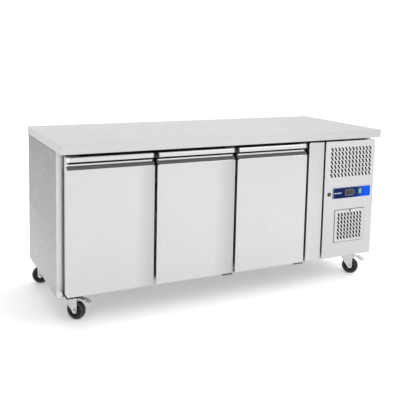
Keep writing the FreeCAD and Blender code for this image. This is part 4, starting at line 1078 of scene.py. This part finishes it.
def dress_evaporator():
    """The cold fan's wire guard and the cover's screws."""
    low, high = corners("evaporator_cover")
    axis = pivot("evaporator_fan_spin")
    x = low.x - 3.2
    work = bmesh.new()
    for radius in range(14, 94, 8):
        bulge = 2.5 - (radius / 58) ** 2
        tube(work, circle((x - bulge, axis.y, axis.z), radius, "x"), 1.0, 8, closed=True)
    for k in range(6):
        angle = k * math.pi / 3
        spoke = [(x + 1.6 - 2.5 + (r / 58) ** 2, axis.y + r * math.cos(angle),
                  axis.z + r * math.sin(angle)) for r in (10, 35, 62, 90)]
        tube(work, spoke, 1.3, 8)
    finish_piece("cold_fan_guard", work, "coated_wire", "cabinet")
    places = [(low.x, y, z) for y in (low.y + 9, high.y - 9)
              for z in (low.z + 14, (low.z + high.z) / 2, high.z - 14)]
    screws("cover_screws", places, (-1, 0, 0), "bright_steel", "cabinet")


POT_RADIUS = 74
POT_PLATE = 17


def dress_compressor():
    """The pot's welded seam, starter cover, process pipe and foot bolts."""
    low, high = corners("compressor")
    x, y, base = (low.x + high.x) / 2, high.y - POT_RADIUS, low.z
    work = bmesh.new()
    seam = ((-0.8, 96), (1.6, 96.6), (2.4, 98.5), (2.4, 101.5), (1.6, 103.4), (-0.8, 104))
    lathe(work, [(POT_RADIUS + r, z) for r, z in seam], (x, y, base), (0, 0, 1), 72, closed=True)
    finish_piece("pot_seam", work, "black_paint", "cabinet")
    work = bmesh.new()
    tube(work, [(x + 30, y - 34, base + z) for z in (172, 190, 216)], 3.2, 12)
    finish_piece("process_pipe", work, "copper", "cabinet")
    front = low.y
    work = bmesh.new()
    block(work, (x - 32, front - 4, base + 62), (x + 32, front + 1, base + 126), 1.5)
    block(work, (x - 22, front - 5.2, base + 74), (x + 22, front - 3.6, base + 114), 0.5)
    finish_piece("starter_cover", work, "black_moulding", "cabinet", 30)
    work = bmesh.new()
    for u in (-78, 78):
        for v in (-48, 48):
            bolt = ((0, 9), (3.0, 9), (3.2, 3.0), (6.2, 3.0), (6.4, 0), (0, 0))
            lathe(work, bolt, (x + u, y + v, base + POT_PLATE), (0, 0, 1), 12)
    finish_piece("foot_bolts", work, "bright_steel", "cabinet")


for number in DOORS:
    dress_handle(number)
    dress_seal(number)
    dress_liner(number)
dress_front()
dress_hem()
dress_joints()
dress_back()
dress_brackets()
dress_uprights()
dress_vents()
dress_lock()
dress_fascia()
for corner in CASTORS:
    dress_castor(corner)
dress_condenser()
dress_evaporator()
dress_compressor()

# ---------------------------------------------------------------- floor, light and camera

def make_floor():
    size, mesh = 12.0, bpy.data.meshes.new("floor")
    corners_of = [(-size, -size, 0), (size, -size, 0), (size, size, 0), (-size, size, 0)]
    mesh.from_pydata(corners_of, [], [(0, 1, 2, 3)])
    mesh.materials.append(FINISHES["floor"])
    piece = bpy.data.objects.new("floor", mesh)
    bpy.context.scene.collection.objects.link(piece)


def make_world():
    """An even white studio; the counter's left end reflects a darker side of it."""
    world = bpy.data.worlds.new("studio")
    world.use_nodes = True
    nodes, links = world.node_tree.nodes, world.node_tree.links
    place = nodes.new("ShaderNodeTexCoord")
    aim = nodes.new("ShaderNodeVectorMath")
    aim.operation = "DOT_PRODUCT"
    aim.inputs[1].default_value = (-0.80, 0.55, 0.24)
    links.new(place.outputs["Generated"], aim.inputs[0])
    ramp = nodes.new("ShaderNodeValToRGB")
    first, last = ramp.color_ramp.elements
    first.position, first.color = 0.52, (1.0, 1.0, 1.0, 1)
    last.position, last.color = 0.86, (0.25, 0.25, 0.25, 1)
    links.new(aim.outputs["Value"], ramp.inputs["Fac"])
    path, seen = nodes.new("ShaderNodeLightPath"), nodes.new("ShaderNodeMix")
    seen.data_type = "RGBA"
    links.new(path.outputs["Is Camera Ray"], seen.inputs[0])
    links.new(ramp.outputs["Color"], seen.inputs[6])
    seen.inputs[7].default_value = (1, 1, 1, 1)
    backdrop = nodes["Background"]
    links.new(seen.outputs[2], backdrop.inputs["Color"])
    backdrop.inputs["Strength"].default_value = 1.25
    bpy.context.scene.world = world


def area_light(name, place, target, size, power):
    data = bpy.data.lights.new(name, "AREA")
    data.shape, data.size, data.energy = "SQUARE", size, power
    lamp = bpy.data.objects.new(name, data)
    lamp.location = place
    aim = Vector(target) - Vector(place)
    lamp.rotation_euler = aim.to_track_quat("-Z", "Y").to_euler()
    bpy.context.scene.collection.objects.link(lamp)


def make_camera():
    azimuth, elevation, roll = (math.radians(a) for a in (-24.85, 6.65, 1.0))
    back = Vector((math.sin(azimuth) * math.cos(elevation),
                   -math.cos(azimuth) * math.cos(elevation), math.sin(elevation)))
    right = Vector((0, 0, 1)).cross(back).normalized()
    up = back.cross(right)
    right, up = (right * math.cos(roll) + up * math.sin(roll),
                 up * math.cos(roll) - right * math.sin(roll))
    data = bpy.data.cameras.new("camera")
    data.lens, data.sensor_width = 56.28, 36
    data.shift_x, data.shift_y = 0.05, -0.20
    camera = bpy.data.objects.new("camera", data)
    turn = Matrix((right, up, back)).transposed().to_4x4()
    camera.matrix_world = Matrix.Translation((-1.5507, -2.9917, 1.2831)) @ turn
    bpy.context.scene.collection.objects.link(camera)
    bpy.context.scene.camera = camera


make_floor()
make_world()
area_light("key", (2.6, -3.2, 3.4), (0, 0, 0.5), 2.2, 60)
make_camera()
bpy.context.scene.view_settings.view_transform = "Standard"
